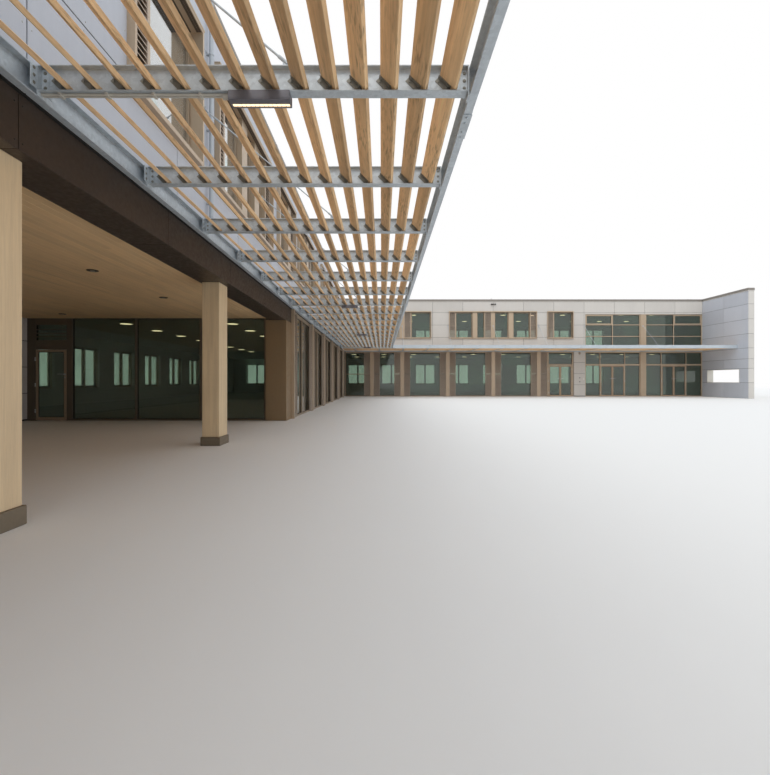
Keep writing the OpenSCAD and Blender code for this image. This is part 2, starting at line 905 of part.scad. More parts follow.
module window_shutters() {
    color("#87735f")
        placed() {
            for (g = far_windows)
                window_field(g[0], g[1], "S", -shutter_t, 0);
            on_left()
                for (g = left_windows)
                    window_field(g[0], g[1], "S", -shutter_t, 0);
        }
}

module window_glass() {
    g1 = -surround_in + pane_set;
    color("DarkSlateGray", 0.6)
        placed() {
            for (g = far_windows)
                window_field(g[0], g[1], "G", g1 - glass_t, g1);
            on_left()
                for (g = left_windows)
                    window_field(g[0], g[1], "G", g1 - glass_t, g1);
            on_back()
                plain_glass(back_row);
            on_outer()
                plain_glass(outer_row);
            on_end()
                plain_glass(end_row);
        }
}

// Entrance glazing: start, width, side light and middle of the upper part
entrances = [[entrance_u, entrance_a_w, sidelight_a], [entrance_b_u, entrance_b_w, sidelight_b]];
upper_z = slab_top + upper_rail_over;

module entrance_mullions() {
    color("#a48c76")
        placed()
            for (e = entrances) {
                from = e[0];
                to = e[0] + e[1];
                door = from + e[2] - bar_w / 2;
                for (u = [from, door, door + bar_w + entrance_door_w, to - bar_w])
                    block(u, u + bar_w, rear, front, 0, head_z);
                for (u = [from, (from + to - bar_w) / 2, to - bar_w])
                    block(u, u + bar_w, rear, front, upper_z, entrance_top - bar_w);
            }
}

module entrance_rails() {
    color("#a48c76")
        placed()
            for (e = entrances) {
                from = e[0];
                to = e[0] + e[1];
                door = from + e[2] + bar_w / 2;
                lower = [[from + bar_w, door - bar_w], [door, door + entrance_door_w],
                    [door + entrance_door_w + bar_w, to - bar_w]];
                middle = (from + to) / 2;
                for (i = [0 : 2]) {
                    block(lower[i][0], lower[i][1], rear, front, door_top + door_gap,
                        door_top + door_gap + transom_h);
                    if (i != 1)
                        block(lower[i][0], lower[i][1], rear, front, 0, bar_w);
                }
                block(from, to, rear, front, head_z, upper_z);
                block(from, to, rear, front, entrance_top - bar_w, entrance_top);
                for (span = [[from + bar_w, middle - bar_w / 2], [middle + bar_w / 2, to - bar_w]],
                     z = [transom_low_z, transom_high_z])
                    block(span[0], span[1], rear, front, z - bar_w / 2, z + bar_w / 2);
            }
}

module entrance_glass() {
    over = door_top + door_gap + transom_h;
    rows = [[upper_z, transom_low_z - bar_w / 2], [transom_low_z + bar_w / 2, transom_high_z - bar_w / 2],
        [transom_high_z + bar_w / 2, entrance_top - bar_w]];
    color("DarkSlateGray", 0.6)
        placed()
            for (e = entrances) {
                from = e[0];
                to = e[0] + e[1];
                door = from + e[2] + bar_w / 2;
                lower = [[from + bar_w, door - bar_w], [door, door + entrance_door_w],
                    [door + entrance_door_w + bar_w, to - bar_w]];
                middle = (from + to) / 2;
                for (i = [0 : 2]) {
                    block(lower[i][0], lower[i][1], glass_w0, glass_w1, over, head_z);
                    if (i != 1)
                        block(lower[i][0], lower[i][1], glass_w0, glass_w1, bar_w, door_top + door_gap);
                }
                for (span = [[from + bar_w, middle - bar_w / 2], [middle + bar_w / 2, to - bar_w]], r = rows)
                    block(span[0], span[1], glass_w0, glass_w1, r[0], r[1]);
            }
}

// Canopies
module channel_profile() {
    difference() {
        square([channel_flange, channel_h]);
        translate([channel_t, channel_t])
            square([channel_flange, channel_h - 2 * channel_t]);
    }
}

// A channel along a court face, its back against w and its flanges towards the other side
module channel(u0, u1, w, outwards) {
    translate([u0, -w, storey_z])
        rotate([90, 0, 90])
            mirror([outwards ? 1 : 0, 0, 0])
                linear_extrude(u1 - u0)
                    channel_profile();
}

module canopy_channels() {
    color("LightSteelBlue")
        placed() {
            channel(0, far_len, 0, true);
            channel(0, far_len, canopy_w, false);
            on_left() {
                channel(canopy_w + joint, left_len, 0, true);
                channel(canopy_w + joint, left_len, canopy_w, false);
            }
        }
}

module beam_profile() {
    side = (beam_w - beam_web_t) / 2;
    difference() {
        translate([-beam_w / 2, 0])
            square([beam_w, beam_h]);
        for (x = [-beam_w / 2 - 1, beam_web_t / 2])
            translate([x, beam_flange_t])
                square([side + 1, beam_h - 2 * beam_flange_t]);
    }
}

module cross_beam(u) {
    translate([u, -beam_from, beam_z])
        rotate([90, 0, 0])
            linear_extrude(beam_to - beam_from)
                beam_profile();
    for (w = [beam_from, beam_to - end_plate_t])
        block(u - beam_w / 2, u + beam_w / 2, w, w + end_plate_t, storey_z, beam_z + beam_h);
}

module canopy_beams() {
    color("LightSteelBlue")
        placed() {
            for (u = far_beams)
                cross_beam(u);
            on_left()
                for (u = left_beams)
                    cross_beam(u);
        }
}

// One tilted slat between two webs
module slat(u0, u1, w) {
    translate([u0, -w, slat_z])
        rotate([45, 0, 0])
            translate([0, -slat_w / 2, -slat_t / 2])
                cube([u1 - u0, slat_w, slat_t]);
}

module slat_row(ends) {
    for (i = [0 : len(ends) - 1], k = [0 : slat_n - 1])
        slat(ends[i][0], ends[i][1], slat_first_w + k * slat_pitch);
}

to_web = beam_web_t / 2 + slat_gap;
function between(beams) = [for (i = [0 : len(beams) - 2]) [beams[i] + to_web, beams[i + 1] - to_web]];
far_slats = concat([[0, far_beams[0] - to_web]], between(far_beams), [[last(far_beams) + to_web, far_len]]);
left_slats = concat([[canopy_w, left_beams[0] - to_web]], between(left_beams));
left_slat_split = ceil(len(left_slats) / 2) - 1;

module far_canopy_slats() {
    color("Peru")
        placed()
            slat_row(far_slats);
}

module left_canopy_slats_far() {
    color("Peru")
        placed()
            on_left()
                slat_row([for (i = [0 : left_slat_split]) left_slats[i]]);
}

module left_canopy_slats_near() {
    color("Peru")
        placed()
            on_left()
                slat_row([for (i = [left_slat_split + 1 : len(left_slats) - 1]) left_slats[i]]);
}

// A stay rod from its plate on the wall down to its lug on a beam
module stay_rod(u) {
    top = beam_z + beam_h;
    rise = rod_z - top;
    run = rod_w;
    slope = atan2(run, rise);
    block(u - rod_d, u + rod_d, 0, rod_plate_t, rod_z - 2 * rod_d, rod_z + 2 * rod_d);
    block(u - rod_plate_t / 2, u + rod_plate_t / 2, rod_w - 2 * rod_d, rod_w + 2 * rod_d,
        top, top + 2 * rod_d);
    translate([u, -rod_w, top + rod_d])
        rotate([-slope, 0, 0])
            cylinder(d = rod_d, h = sqrt(run * run + rise * rise) - rod_plate_t, $fn = 24);
}

// Every second beam hangs from a rod, and so does the last beam before an open end
module stay_rods() {
    color("Silver")
        placed() {
            for (i = [0 : 2 : len(far_beams) - 2])
                stay_rod(far_beams[i]);
            on_left()
                for (i = [0 : len(left_beams) - 1])
                    if (i % 2 == 0 || i == len(left_beams) - 1)
                        stay_rod(left_beams[i]);
        }
}

module canopy_lamps() {
    color("#33302e")
        placed()
            on_left()
                for (i = lamp_beam_n)
                    block(left_beams[i] - lamp_w / 2, left_beams[i] + lamp_w / 2, lamp_from_w,
                        lamp_from_w + lamp_l, beam_z - lamp_h, beam_z);
}

// Doors
leaf_back = front - leaf_t;
court_leaf_w = (court_door_w - 3 * door_gap) / 2;
entrance_leaf_w = (entrance_door_w - 3 * door_gap) / 2;
recess_leaf_w = recess_door_w - 2 * door_gap;
hinge_play = 0.3;
hinge_flap_w = 4 * knuckle_r;
hinge_flap_t = knuckle_r / 3;
court_door_end = court_door_u + court_door_w;
door_a_end = door_a_u + entrance_door_w;
door_b_end = door_b_u + entrance_door_w;

// The heights of the middles of a leaf's three hinges
function hinge_heights(top) = [door_gap + hinge_from, (door_gap + top) / 2, top - hinge_from];

// Everything of a hinge is drawn with its axis at the origin and its leaf towards +u
module knuckle(z0, z1) {
    translate([0, 0, z0])
        cylinder(r = knuckle_r, h = z1 - z0, $fn = 24);
}

module on_hinge(edge, side) {
    translate([edge + side * door_gap / 2, -front - knuckle_r, 0])
        mirror([side > 0 ? 0 : 1, 0, 0])
            children();
}

// The middle knuckle, which turns with the leaf
module leaf_knuckle() {
    h = hinge_h / 5;
    knuckle(-h, h);
    translate([0, knuckle_r - hinge_flap_t, -h])
        cube([hinge_flap_w, hinge_flap_t, 2 * h]);
}

// The outer knuckles and their flap on the jamb
module jamb_knuckles() {
    h = hinge_h / 5 + hinge_play;
    clear = knuckle_r + hinge_play;
    for (z = [[-hinge_h / 2, -h], [h, hinge_h / 2]]) {
        knuckle(z[0], z[1]);
        translate([-clear - eps, knuckle_r - hinge_flap_t, z[0]])
            cube([clear + eps, hinge_flap_t, z[1] - z[0]]);
    }
    translate([-hinge_flap_w, knuckle_r - hinge_flap_t, -hinge_h / 2])
        cube([hinge_flap_w - clear, hinge_flap_t, hinge_h]);
}

// A glazed leaf in a doorway whose hinge side is at edge, opening towards side (1 or -1)
module leaf(edge, side, width, top) {
    u = edge + side * door_gap;
    u0 = side > 0 ? u : u - width;
    u1 = u0 + width;
    pane = glass_t / 2;
    mid = (leaf_back + front) / 2;
    ring(u0, u1, leaf_back, front, door_gap, top, leaf_rim, leaf_rim);
    block(u0 + leaf_rim, u1 - leaf_rim, mid - pane / 2, mid + pane / 2,
        door_gap + leaf_rim, top - leaf_rim);
    for (z = hinge_heights(top))
        translate([0, 0, z])
            on_hinge(edge, side)
                leaf_knuckle();
}

module hinges(edge, side, top) {
    for (z = hinge_heights(top))
        translate([0, 0, z])
            on_hinge(edge, side)
                jamb_knuckles();
}

module door_hinges() {
    color("Silver")
        placed() {
            on_recess()
                hinges(recess_door_u, 1, recess_door_top);
            for (edge = [court_door_u, door_a_u, door_b_u])
                hinges(edge, 1, door_top);
            for (edge = [court_door_end, door_a_end, door_b_end])
                hinges(edge, -1, door_top);
        }
}

module recess_door() {
    color("#c9b79c")
        placed()
            on_recess()
                leaf(recess_door_u, 1, recess_leaf_w, recess_door_top);
}

module court_door_left() {
    color("#a48c76")
        placed()
            leaf(court_door_u, 1, court_leaf_w, door_top);
}

module court_door_right() {
    color("#a48c76")
        placed()
            leaf(court_door_end, -1, court_leaf_w, door_top);
}

module entrance_door_a_left() {
    color("#a48c76")
        placed()
            leaf(door_a_u, 1, entrance_leaf_w, door_top);
}

module entrance_door_a_right() {
    color("#a48c76")
        placed()
            leaf(door_a_end, -1, entrance_leaf_w, door_top);
}

module entrance_door_b_left() {
    color("#a48c76")
        placed()
            leaf(door_b_u, 1, entrance_leaf_w, door_top);
}

module entrance_door_b_right() {
    color("#a48c76")
        placed()
            leaf(door_b_end, -1, entrance_leaf_w, door_top);
}

ground_floor();
first_floor();
roof_slabs();
roof_copings();
far_upper_wall();
left_upper_wall();
entrance_header();
entrance_pier();
entrance_post();
back_wall();
outer_wall();
end_wall();
gable_wall();
fin_wall();
fin_window_lining();
recess_side_wall();
fascia_beam();
timber_soffit();
timber_columns();
column_bases();
bronze_pillars();
pilasters();
ground_mullions();
ground_rails();
ground_glass();
ground_shutters();
window_surrounds();
window_shutters();
window_glass();
door_hinges();
entrance_mullions();
entrance_rails();
entrance_glass();
canopy_channels();
canopy_beams();
far_canopy_slats();
left_canopy_slats_far();
left_canopy_slats_near();
stay_rods();
canopy_lamps();
recess_door();
court_door_left();
court_door_right();
entrance_door_a_left();
entrance_door_a_right();
entrance_door_b_left();
entrance_door_b_right();
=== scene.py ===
"""School building: cladding, louvres, slats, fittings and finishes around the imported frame."""

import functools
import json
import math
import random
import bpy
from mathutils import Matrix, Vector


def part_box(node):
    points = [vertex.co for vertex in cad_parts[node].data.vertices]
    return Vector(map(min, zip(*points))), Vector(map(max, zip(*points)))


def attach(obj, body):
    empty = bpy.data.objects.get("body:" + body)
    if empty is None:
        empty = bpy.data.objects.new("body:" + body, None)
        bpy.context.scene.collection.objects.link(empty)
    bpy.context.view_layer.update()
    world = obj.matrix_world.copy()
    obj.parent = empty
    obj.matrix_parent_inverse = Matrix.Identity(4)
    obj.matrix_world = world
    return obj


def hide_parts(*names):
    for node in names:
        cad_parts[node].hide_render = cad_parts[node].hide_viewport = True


bl_info = {
    "name": "School building finishes",
    "version": (1, 0, 0),
    "blender": (4, 5, 0),
    "location": "View3D > Sidebar > School",
    "description": "Builds the cladding, louvres, slats, fittings and finishes of a school building",
    "category": "Object",
}

from itertools import pairwise

import bmesh
import bpy
from bpy.props import FloatProperty, FloatVectorProperty, IntProperty, PointerProperty
from mathutils import Matrix, Vector

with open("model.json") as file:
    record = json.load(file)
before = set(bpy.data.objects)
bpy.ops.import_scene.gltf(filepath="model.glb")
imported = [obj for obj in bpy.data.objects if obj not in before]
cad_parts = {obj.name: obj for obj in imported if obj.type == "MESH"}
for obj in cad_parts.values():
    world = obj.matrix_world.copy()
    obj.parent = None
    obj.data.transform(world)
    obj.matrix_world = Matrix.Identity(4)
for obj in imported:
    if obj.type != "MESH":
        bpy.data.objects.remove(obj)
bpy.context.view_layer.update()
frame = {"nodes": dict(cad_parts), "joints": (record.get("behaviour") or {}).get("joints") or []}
ROOT = "building"
UP = Vector((0, 0, 1))
MERGE = 1e-5


# Colours are written as sRGB hex and used as linear values

def srgb(code):
    """A linear colour from a six-digit sRGB code."""
    parts = [int(code[i:i + 2], 16) / 255 for i in (0, 2, 4)]
    return tuple(c / 12.92 if c <= 0.04045 else ((c + 0.055) / 1.055) ** 2.4 for c in parts)


def number(name, text, value, **kind):
    """A number that a user may change."""
    return FloatProperty(name=name, description=text, default=value, **kind)


def length(name, text, value):
    """A length in metres that a user may change."""
    return number(name, text, value, unit="LENGTH", precision=4, min=0.0)


def several(name, text, values, **kind):
    """A few numbers that a user may change together."""
    return FloatVectorProperty(name=name, description=text, default=values, size=len(values), **kind)


def colour(name, text, code):
    """A colour that a user may change."""
    return several(name, text, srgb(code), min=0.0, max=1.0, subtype="COLOR")


class SCHOOL_PG_cladding(bpy.types.PropertyGroup):
    gap: length("Panel gap", "Width of the open joint between two facade panels", 0.008)
    thickness: length("Panel thickness", "Thickness of a facade panel", 0.008)
    far_first: length("First joint", "Distance of the far wing's first upright joint from the corner", 1.1)
    far_width: length("Far panel width", "Width of the far wing's panels", 1.25)
    left_first: length("First left joint", "Distance of the left wing's first upright joint", 1.304)
    left_width: length("Left panel width", "Width of the left wing's panels", 1.456)
    plain_width: length("Plain panel width", "Width of the panels of the unseen walls", 1.25)
    first_row: length("First row", "Height of the upper storey's first level joint", 2.43)
    row: length("Row height", "Height of the panel rows of the upper storey", 0.51)
    screw: length("Screw radius", "Radius of a panel screw's head", 0.0045)
    screw_set: length("Screw inset", "Distance of a screw from its panel's edges", 0.022)


class SCHOOL_PG_louvres(bpy.types.PropertyGroup):
    pitch: length("Blade pitch", "Spacing of the louvre blades", 0.0385)
    depth: length("Blade depth", "Depth of a blade of the upper windows' thick leaves", 0.044)
    thin_depth: length("Thin blade depth", "Depth of a blade of the ground storey's thin leaves", 0.021)
    thickness: length("Blade thickness", "Thickness of a louvre blade", 0.003)
    lip: length("Blade lip", "Height of the upright lip along a blade's front edge", 0.006)
    lean: number("Blade lean", "How far the blades lean from level", math.radians(45), unit="ROTATION")
    stile: length("Stile width", "Width of a leaf's stiles and rails", 0.012)
    leaf_gap: length("Leaf gap", "Gap between the two folded leaves of a shutter", 0.003)


class SCHOOL_PG_canopy(bpy.types.PropertyGroup):
    slat_round: length("Slat rounding", "Radius of a slat's long edges", 0.0025)
    bracket_t: length("Bracket thickness", "Thickness of a slat's angle bracket", 0.003)
    bracket_l: length("Bracket length", "Length of a bracket along the slat's width", 0.07)
    bracket_w: length("Bracket leg", "Width of both legs of a bracket", 0.022)
    bolt: length("Bolt radius", "Radius of a bolt's head", 0.005)
    cleat: length("Cleat length", "Length of the cleats on a beam's web", 0.036)
    wall_plate: length("Wall plate half width", "Half the width of the plates at the wall", 0.065)
    lens_rows: IntProperty(name="Lenses", description="Number of lenses under a lamp", default=13, min=1)
    conduit: length("Conduit radius", "Radius of the conduits along a beam", 0.005)


class SCHOOL_PG_glazing(bpy.types.PropertyGroup):
    bead: length("Glazing bead", "Width of the dark bead round a pane", 0.006)
    sash: length("Sash width", "Width of an opening light's own frame", 0.024)
    stile: length("Door stile", "Width of a door leaf's stiles and head rail", 0.036)
    foot: length("Door foot", "Height of a door leaf's bottom rail", 0.05)
    handle_r: length("Handle radius", "Radius of a door's lever handle", 0.009)
    handle_l: length("Handle length", "Length of a door's lever handle", 0.1)
    handle_z: length("Handle height", "Height of the entrance doors' lever handles", 0.745)
    recess_z: length("Recess handle height", "Height of the recess door's lever handles", 0.5)


class SCHOOL_PG_covered(bpy.types.PropertyGroup):
    board: length("Soffit board", "Width of a soffit board", 0.06)
    board_gap: length("Board gap", "Gap between soffit boards", 0.0022)
    light_r: length("Downlight radius", "Radius of a round downlight", 0.05)
    light_rows: several("Downlight rows", "Distances of the downlights' rows behind the court face",
                        (1.13, 3.29), unit="LENGTH")


class SCHOOL_PG_rooms(bpy.types.PropertyGroup):
    lamp_r: length("Ceiling lamp radius", "Radius of a round ceiling lamp", 0.135)
    pitch: length("Ceiling lamp spacing", "Spacing of the ceiling lamps along a wing", 1.33)
    rows: several("Ceiling lamp rows", "Distances of the lamps' rows behind the court face", (1.6, 3.8),
                  unit="LENGTH")


class SCHOOL_PG_colours(bpy.types.PropertyGroup):
    panel: colour("Facade panel", "Warm light grey of the facade panels", "cdc8c1")
    # Painted shade: these are the same panels as the rest; this cooler grey paints in the bluish shade light
    # that falls on the left wing and the fin's inner face.
    cool_panel: colour("Cool panel", "Cooler grey of the panels on the faces along the court", "c5c8cf")
    coping: colour("Coping", "Grey-brown of the roof coping", "8b857e")
    bronze: colour("Bronze", "Light bronze of pilasters and glazing bars", "bba78f")
    shutter: colour("Shutter", "Taupe of the louvre shutters", "b8a898")
    fascia: colour("Fascia", "Dark brown of the fascia beam", "463a31")
    pillar: colour("Pillar", "Brown of the bronze pillars", "9c8466")
    column: colour("Column", "Beige of the timber columns", "eed5ae")
    # Painted light: the soffit, larch and galvanised steel colours are made lighter than the materials,
    # standing in for more light in the shade under the canopies.
    soffit: colour("Soffit", "Brown of the soffit boards", "f8d3a3")
    larch: colour("Larch", "Warm brown of the canopy slats", "e8c497")
    steel: colour("Galvanised steel", "Blue-grey of the galvanised steel", "c0c8ce")
    glass: colour("Glass", "Tint of the glass", "b2c4b6")
    plaster: colour("Plaster", "Pale plaster of the rooms", "cfccc4")
    concrete: colour("Concrete", "Grey of floors and slabs", "a09d96")
    roof: colour("Roof", "Grey of the roof membrane", "76777a")
    lamp: colour("Lamp light", "Warm white of the lamps", "ffe3b8")


class SCHOOL_PG_stage(bpy.types.PropertyGroup):
    lens: number("Lens", "Focal length of the camera", 21.74, unit="CAMERA")
    eye: several("Eye", "Place of the camera", (-2.5375, -11.2625, 0.64), unit="LENGTH")
    shift: several("Shift", "Shift of the camera", (0.0044, -0.0086))
    reach: length("Floor reach", "Distance from the middle to the floor's edge", 400)
    fade: several("Fade", "Distances over which the floor turns white", (26, 60), unit="LENGTH")
    ground: colour("Floor", "Pale colour of the floor", "f0eeea")
    sky: number("Sky", "Strength of the sky's light", 0.96, min=0.0)
    sun: number("Sun", "Strength of the soft sun", 0.8, min=0.0)


def props(name):
    """One of the scene's groups of sizes."""
    return getattr(bpy.context.scene, "school_" + name)


# The frame: wall faces and the solids of its nodes

def node_mesh(node):
    """A merged copy of a CAD node's mesh, with its flat faces whole."""
    bm = bmesh.new()
    bm.from_mesh(frame["nodes"][node].data)
    bmesh.ops.remove_doubles(bm, verts=bm.verts, dist=MERGE)
    bmesh.ops.dissolve_limit(bm, angle_limit=math.radians(0.5), verts=bm.verts, edges=bm.edges)
    return bm


def parts_of(bm):
    """The vertices of each separate solid of a mesh."""
    seen, parts = set(), []
    for first in bm.verts:
        if first in seen:
            continue
        seen.add(first)
        part, waiting = [], [first]
        while waiting:
            vert = waiting.pop()
            part.append(vert)
            near = [edge.other_vert(vert) for edge in vert.link_edges]
            fresh = [other for other in near if other not in seen]
            seen.update(fresh)
            waiting.extend(fresh)
        parts.append(part)
    return parts


def box_of(part):
    """The lowest and highest corner of a solid's vertices."""
    axes = list(zip(*[v.co for v in part]))
    return Vector([min(axis) for axis in axes]), Vector([max(axis) for axis in axes])


@functools.cache
def solids(node):
    """The lowest and highest corner of each solid of a CAD node."""
    bm = node_mesh(node)
    boxes = [box_of(part) for part in parts_of(bm)]
    bm.free()
    return boxes


class Face:
    """A wall face. A point of it is how far along it, out of it and up it."""

    def __init__(self, start, along, out):
        self.start, self.along, self.out = Vector(start), Vector(along), Vector(out)

    def at(self, u, w, z):
        """The place of a point of the face in the frame."""
        return self.start + self.along * u + self.out * w + UP * z

    def span(self, low, high):
        """How far a box reaches along, out of and up the face, as three pairs."""
        ends = [((p - self.start).dot(self.along), (p - self.start).dot(self.out), p.z) for p in (low, high)]
        return [sorted(pair) for pair in zip(*ends)]

    def reach(self, node):
        """How far a whole CAD node reaches along, out of and up the face."""
        return self.span(*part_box(node))

    def spans(self, node):
        """How far each solid of a CAD node reaches."""
        return [self.span(*box) for box in solids(node)]


wall_low, wall_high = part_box("far_upper_wall")
gable_low, gable_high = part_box("gable_wall")
outer_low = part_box("outer_wall")[0]
fin_low, fin_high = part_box("fin_wall")
CORNER = Vector((wall_low.x, wall_low.y, 0))
STOREY = wall_low.z
WALL_TOP = wall_high.z
WALL = wall_high.y - wall_low.y
FAR_LEN = gable_low.x - CORNER.x
FIN_T = gable_high.x - gable_low.x
WING = gable_high.y - CORNER.y
LEFT_LEN = CORNER.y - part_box("left_upper_wall")[0].y
BACK_LEN = gable_high.x - outer_low.x
FIN_OUT = CORNER.y - fin_low.y
WIN_LOW = min(low.z for low, high in solids("window_surrounds") if low.z > STOREY)
WIN_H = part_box("window_surrounds")[1].z - WIN_LOW

FRAME = Face((0, 0, 0), (1, 0, 0), (0, 1, 0))
FAR = Face(CORNER, (1, 0, 0), (0, -1, 0))
LEFT = Face(CORNER, (0, -1, 0), (1, 0, 0))
BACK = Face((gable_high.x, gable_high.y, 0), (-1, 0, 0), (0, 1, 0))
OUTER = Face((outer_low.x, gable_high.y, 0), (0, -1, 0), (-1, 0, 0))
END = Face((outer_low.x, outer_low.y, 0), (1, 0, 0), (0, -1, 0))
GABLE = Face((fin_high.x, fin_low.y, 0), (0, 1, 0), (1, 0, 0))
FIN = Face((fin_low.x, CORNER.y, 0), (0, -1, 0), (-1, 0, 0))
FIN_EDGE = Face((fin_low.x, fin_low.y, 0), (1, 0, 0), (0, -1, 0))
RECESS_SIDE = Face((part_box("recess_side_wall")[1].x, CORNER.y, 0), (0, -1, 0), (1, 0, 0))
COURT_FACES = (FAR, LEFT)
PLAIN_FACES = (BACK, OUTER, END)


def on_walls(node, reach=0.3):
    """The wall face of each solid of a CAD node, and how far the solid reaches on it."""
    for low, high in solids(node):
        for face in COURT_FACES + PLAIN_FACES:
            u, w, z = face.span(low, high)
            if w[0] > -reach and w[1] < reach and u[0] > -reach:
                yield face, u, w, z
                break
        else:
            raise RuntimeError(f"no wall face holds a solid of {node} at {tuple(low)}")


def inset(limits, by):
    """Two limits, each moved towards the other."""
    return limits[0] + by, limits[1] - by


def about(middle, half):
    """Two limits on both sides of a middle."""
    return middle - half, middle + half


def steps(start, end, first, pitch):
    """Joints from start to end, at first and every pitch from there."""
    k = math.ceil((start - first) / pitch + MERGE)
    inner = []
    while first + k * pitch < end - MERGE:
        inner.append(first + k * pitch)
        k += 1
    return [start, *inner, end]


def places(first, end, pitch):
    """Places from the first to before the end, a pitch apart."""
    return [first + pitch * k for k in range(math.ceil((end - first) / pitch))]


# Meshes

def placed(name, data):
    """A new object in the scene."""
    obj = bpy.data.objects.new(name, data)
    bpy.context.scene.collection.objects.link(obj)
    return obj


def apply_modifiers(obj):
    """Makes what the modifiers give the object's own mesh."""
    made = bpy.data.meshes.new_from_object(obj.evaluated_get(bpy.context.evaluated_depsgraph_get()))
    obj.modifiers.clear()
    obj.data = made


def settle(obj, body=ROOT, replaces=()):
    """Hangs a piece on the empty of its body, and hides the CAD nodes that it stands for."""
    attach(obj, body)
    if replaces:
        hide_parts(*replaces)


def dress(node, look):
    """Gives a CAD node that stays as it is its material."""
    obj = frame["nodes"][node]
    obj.data.materials.clear()
    obj.data.materials.append(finishes[look])


class Shape:
    """A mesh in the making. Each solid in it has a tone of its own for its material."""

    def __init__(self, seed):
        self.bm = bmesh.new()
        self.tone = self.bm.faces.layers.float.new("tone")
        self.random = random.Random(seed)

    def tint(self, faces):
        """Gives the faces of one solid their tone."""
        tone = self.random.random()
        for face in faces:
            face[self.tone] = tone

    def solid(self, corners, rings=2):
        """A closed solid from rings of corners, one ring after the other."""
        n = len(corners) // rings
        verts = [self.bm.verts.new(c) for c in corners]
        faces = [verts[:n], verts[-n:]]
        for low in range(0, n * (rings - 1), n):
            for i in range(n):
                j = (i + 1) % n
                faces.append([verts[low + i], verts[low + j], verts[low + n + j], verts[low + n + i]])
        self.tint([self.bm.faces.new(ring) for ring in faces])

    def block(self, face, u, w, z):
        """A straight block, from its three pairs of limits on a wall face."""
        ring = ((u[0], w[0]), (u[1], w[0]), (u[1], w[1]), (u[0], w[1]))
        self.solid([face.at(a, b, c) for c in z for a, b in ring])

    def turned(self, rings, axis, sides):
        """A round solid from rings, each a centre and a radius."""
        across = axis.orthogonal().normalized()
        other = axis.cross(across)
        turn = [math.tau * i / sides for i in range(sides)]
        self.solid([centre + (across * math.cos(t) + other * math.sin(t)) * radius
                    for centre, radius in rings for t in turn], len(rings))

    def rod(self, start, end, radius, sides=12):
        """A round bar between two points."""
        self.turned(((start, radius), (end, radius)), (end - start).normalized(), sides)

    def disc(self, centre, normal, radius, thickness, sides=24):
        """A round plate with a chamfered front edge."""
        rings = ((0, 1), (0.6, 1), (1, 0.93))
        self.turned([(centre + normal * (h * thickness), r * radius) for h, r in rings], normal, sides)

    def panel(self, face, cells, thickness):
        """A plate of any outline made of touching cells, each (u0, u1, z0, z1)."""
        verts, fronts = {}, []
        for u0, u1, z0, z1 in cells:
            ring = []
            for u, z in ((u0, z0), (u1, z0), (u1, z1), (u0, z1)):
                key = (round(u, 5), round(z, 5))
                if key not in verts:
                    verts[key] = self.bm.verts.new(face.at(u, 0, z))
                ring.append(verts[key])
            fronts.append(self.bm.faces.new(ring))
        made = bmesh.ops.extrude_face_region(self.bm, geom=fronts)["geom"]
        backs = [g for g in made if isinstance(g, bmesh.types.BMVert)]
        bmesh.ops.translate(self.bm, verts=backs, vec=face.out * -thickness)
        self.tint(fronts + [near for vert in backs for near in vert.link_faces])

    def node(self, node, keep=None):
        """The solids of a CAD node, or those that a test of their box keeps."""
        bm = node_mesh(node)
        for part in parts_of(bm):
            if keep and not keep(*box_of(part)):
                continue
            copies = {v: self.bm.verts.new(v.co) for v in part}
            faces = dict.fromkeys(f for v in part for f in v.link_faces)
            self.tint([self.bm.faces.new([copies[v] for v in f.verts]) for f in faces])
        bm.free()

    def piece(self, name, look, slot, body=ROOT, bevel=0.0, segments=1, replaces=()):
        """Turns the mesh into a finished object that rides on a body."""
        bmesh.ops.recalc_face_normals(self.bm, faces=self.bm.faces)
        mesh = bpy.data.meshes.new(name)
        self.bm.to_mesh(mesh)
        self.bm.free()
        mesh.materials.append(finishes[look])
        obj = placed(name, mesh)
        if bevel:
            edge = obj.modifiers.new("Edges", "BEVEL")
            edge.width = bevel
            edge.segments = segments
            edge.limit_method = "ANGLE"
            edge.angle_limit = math.radians(35)
            apply_modifiers(obj)
        settle(obj, body, replaces)


def copied(name, node, look, slot, bevel=0.0015, seed=51):
    """A piece with a CAD node's own shape, with its edges softened."""
    shape = Shape(seed)
    shape.node(node)
    shape.piece(name, look, slot, bevel=bevel, replaces=(node,))


def rim(shape, face, u, w, z, width, foot=None):
    """Four bars round a rectangle of a wall face, the lowest one with a height of its own."""
    for limits in ((u[0], u[0] + width), (u[1] - width, u[1])):
        shape.block(face, limits, w, z)
    for limits in ((z[0], z[0] + (foot or width)), (z[1] - width, z[1])):
        shape.block(face, inset(u, width), w, limits)


# Materials

def fill(tree, socket, value):
    """Links an output to a socket, or sets the socket's own value."""
    if isinstance(value, bpy.types.NodeSocket):
        tree.links.new(value, socket)
    else:
        socket.default_value = value


def add(tree, kind, inputs=(), output=0, **settings):
    """Adds a node, sets it up, fills or links its inputs, and returns one of its outputs."""
    node = tree.nodes.new(kind)
    for key, value in settings.items():
        setattr(node, key, value)
    for key, value in dict(inputs).items():
        for item in value if isinstance(value, list) else [value]:
            fill(tree, node.inputs[key], item)
    return node.outputs[output] if len(node.outputs) else None


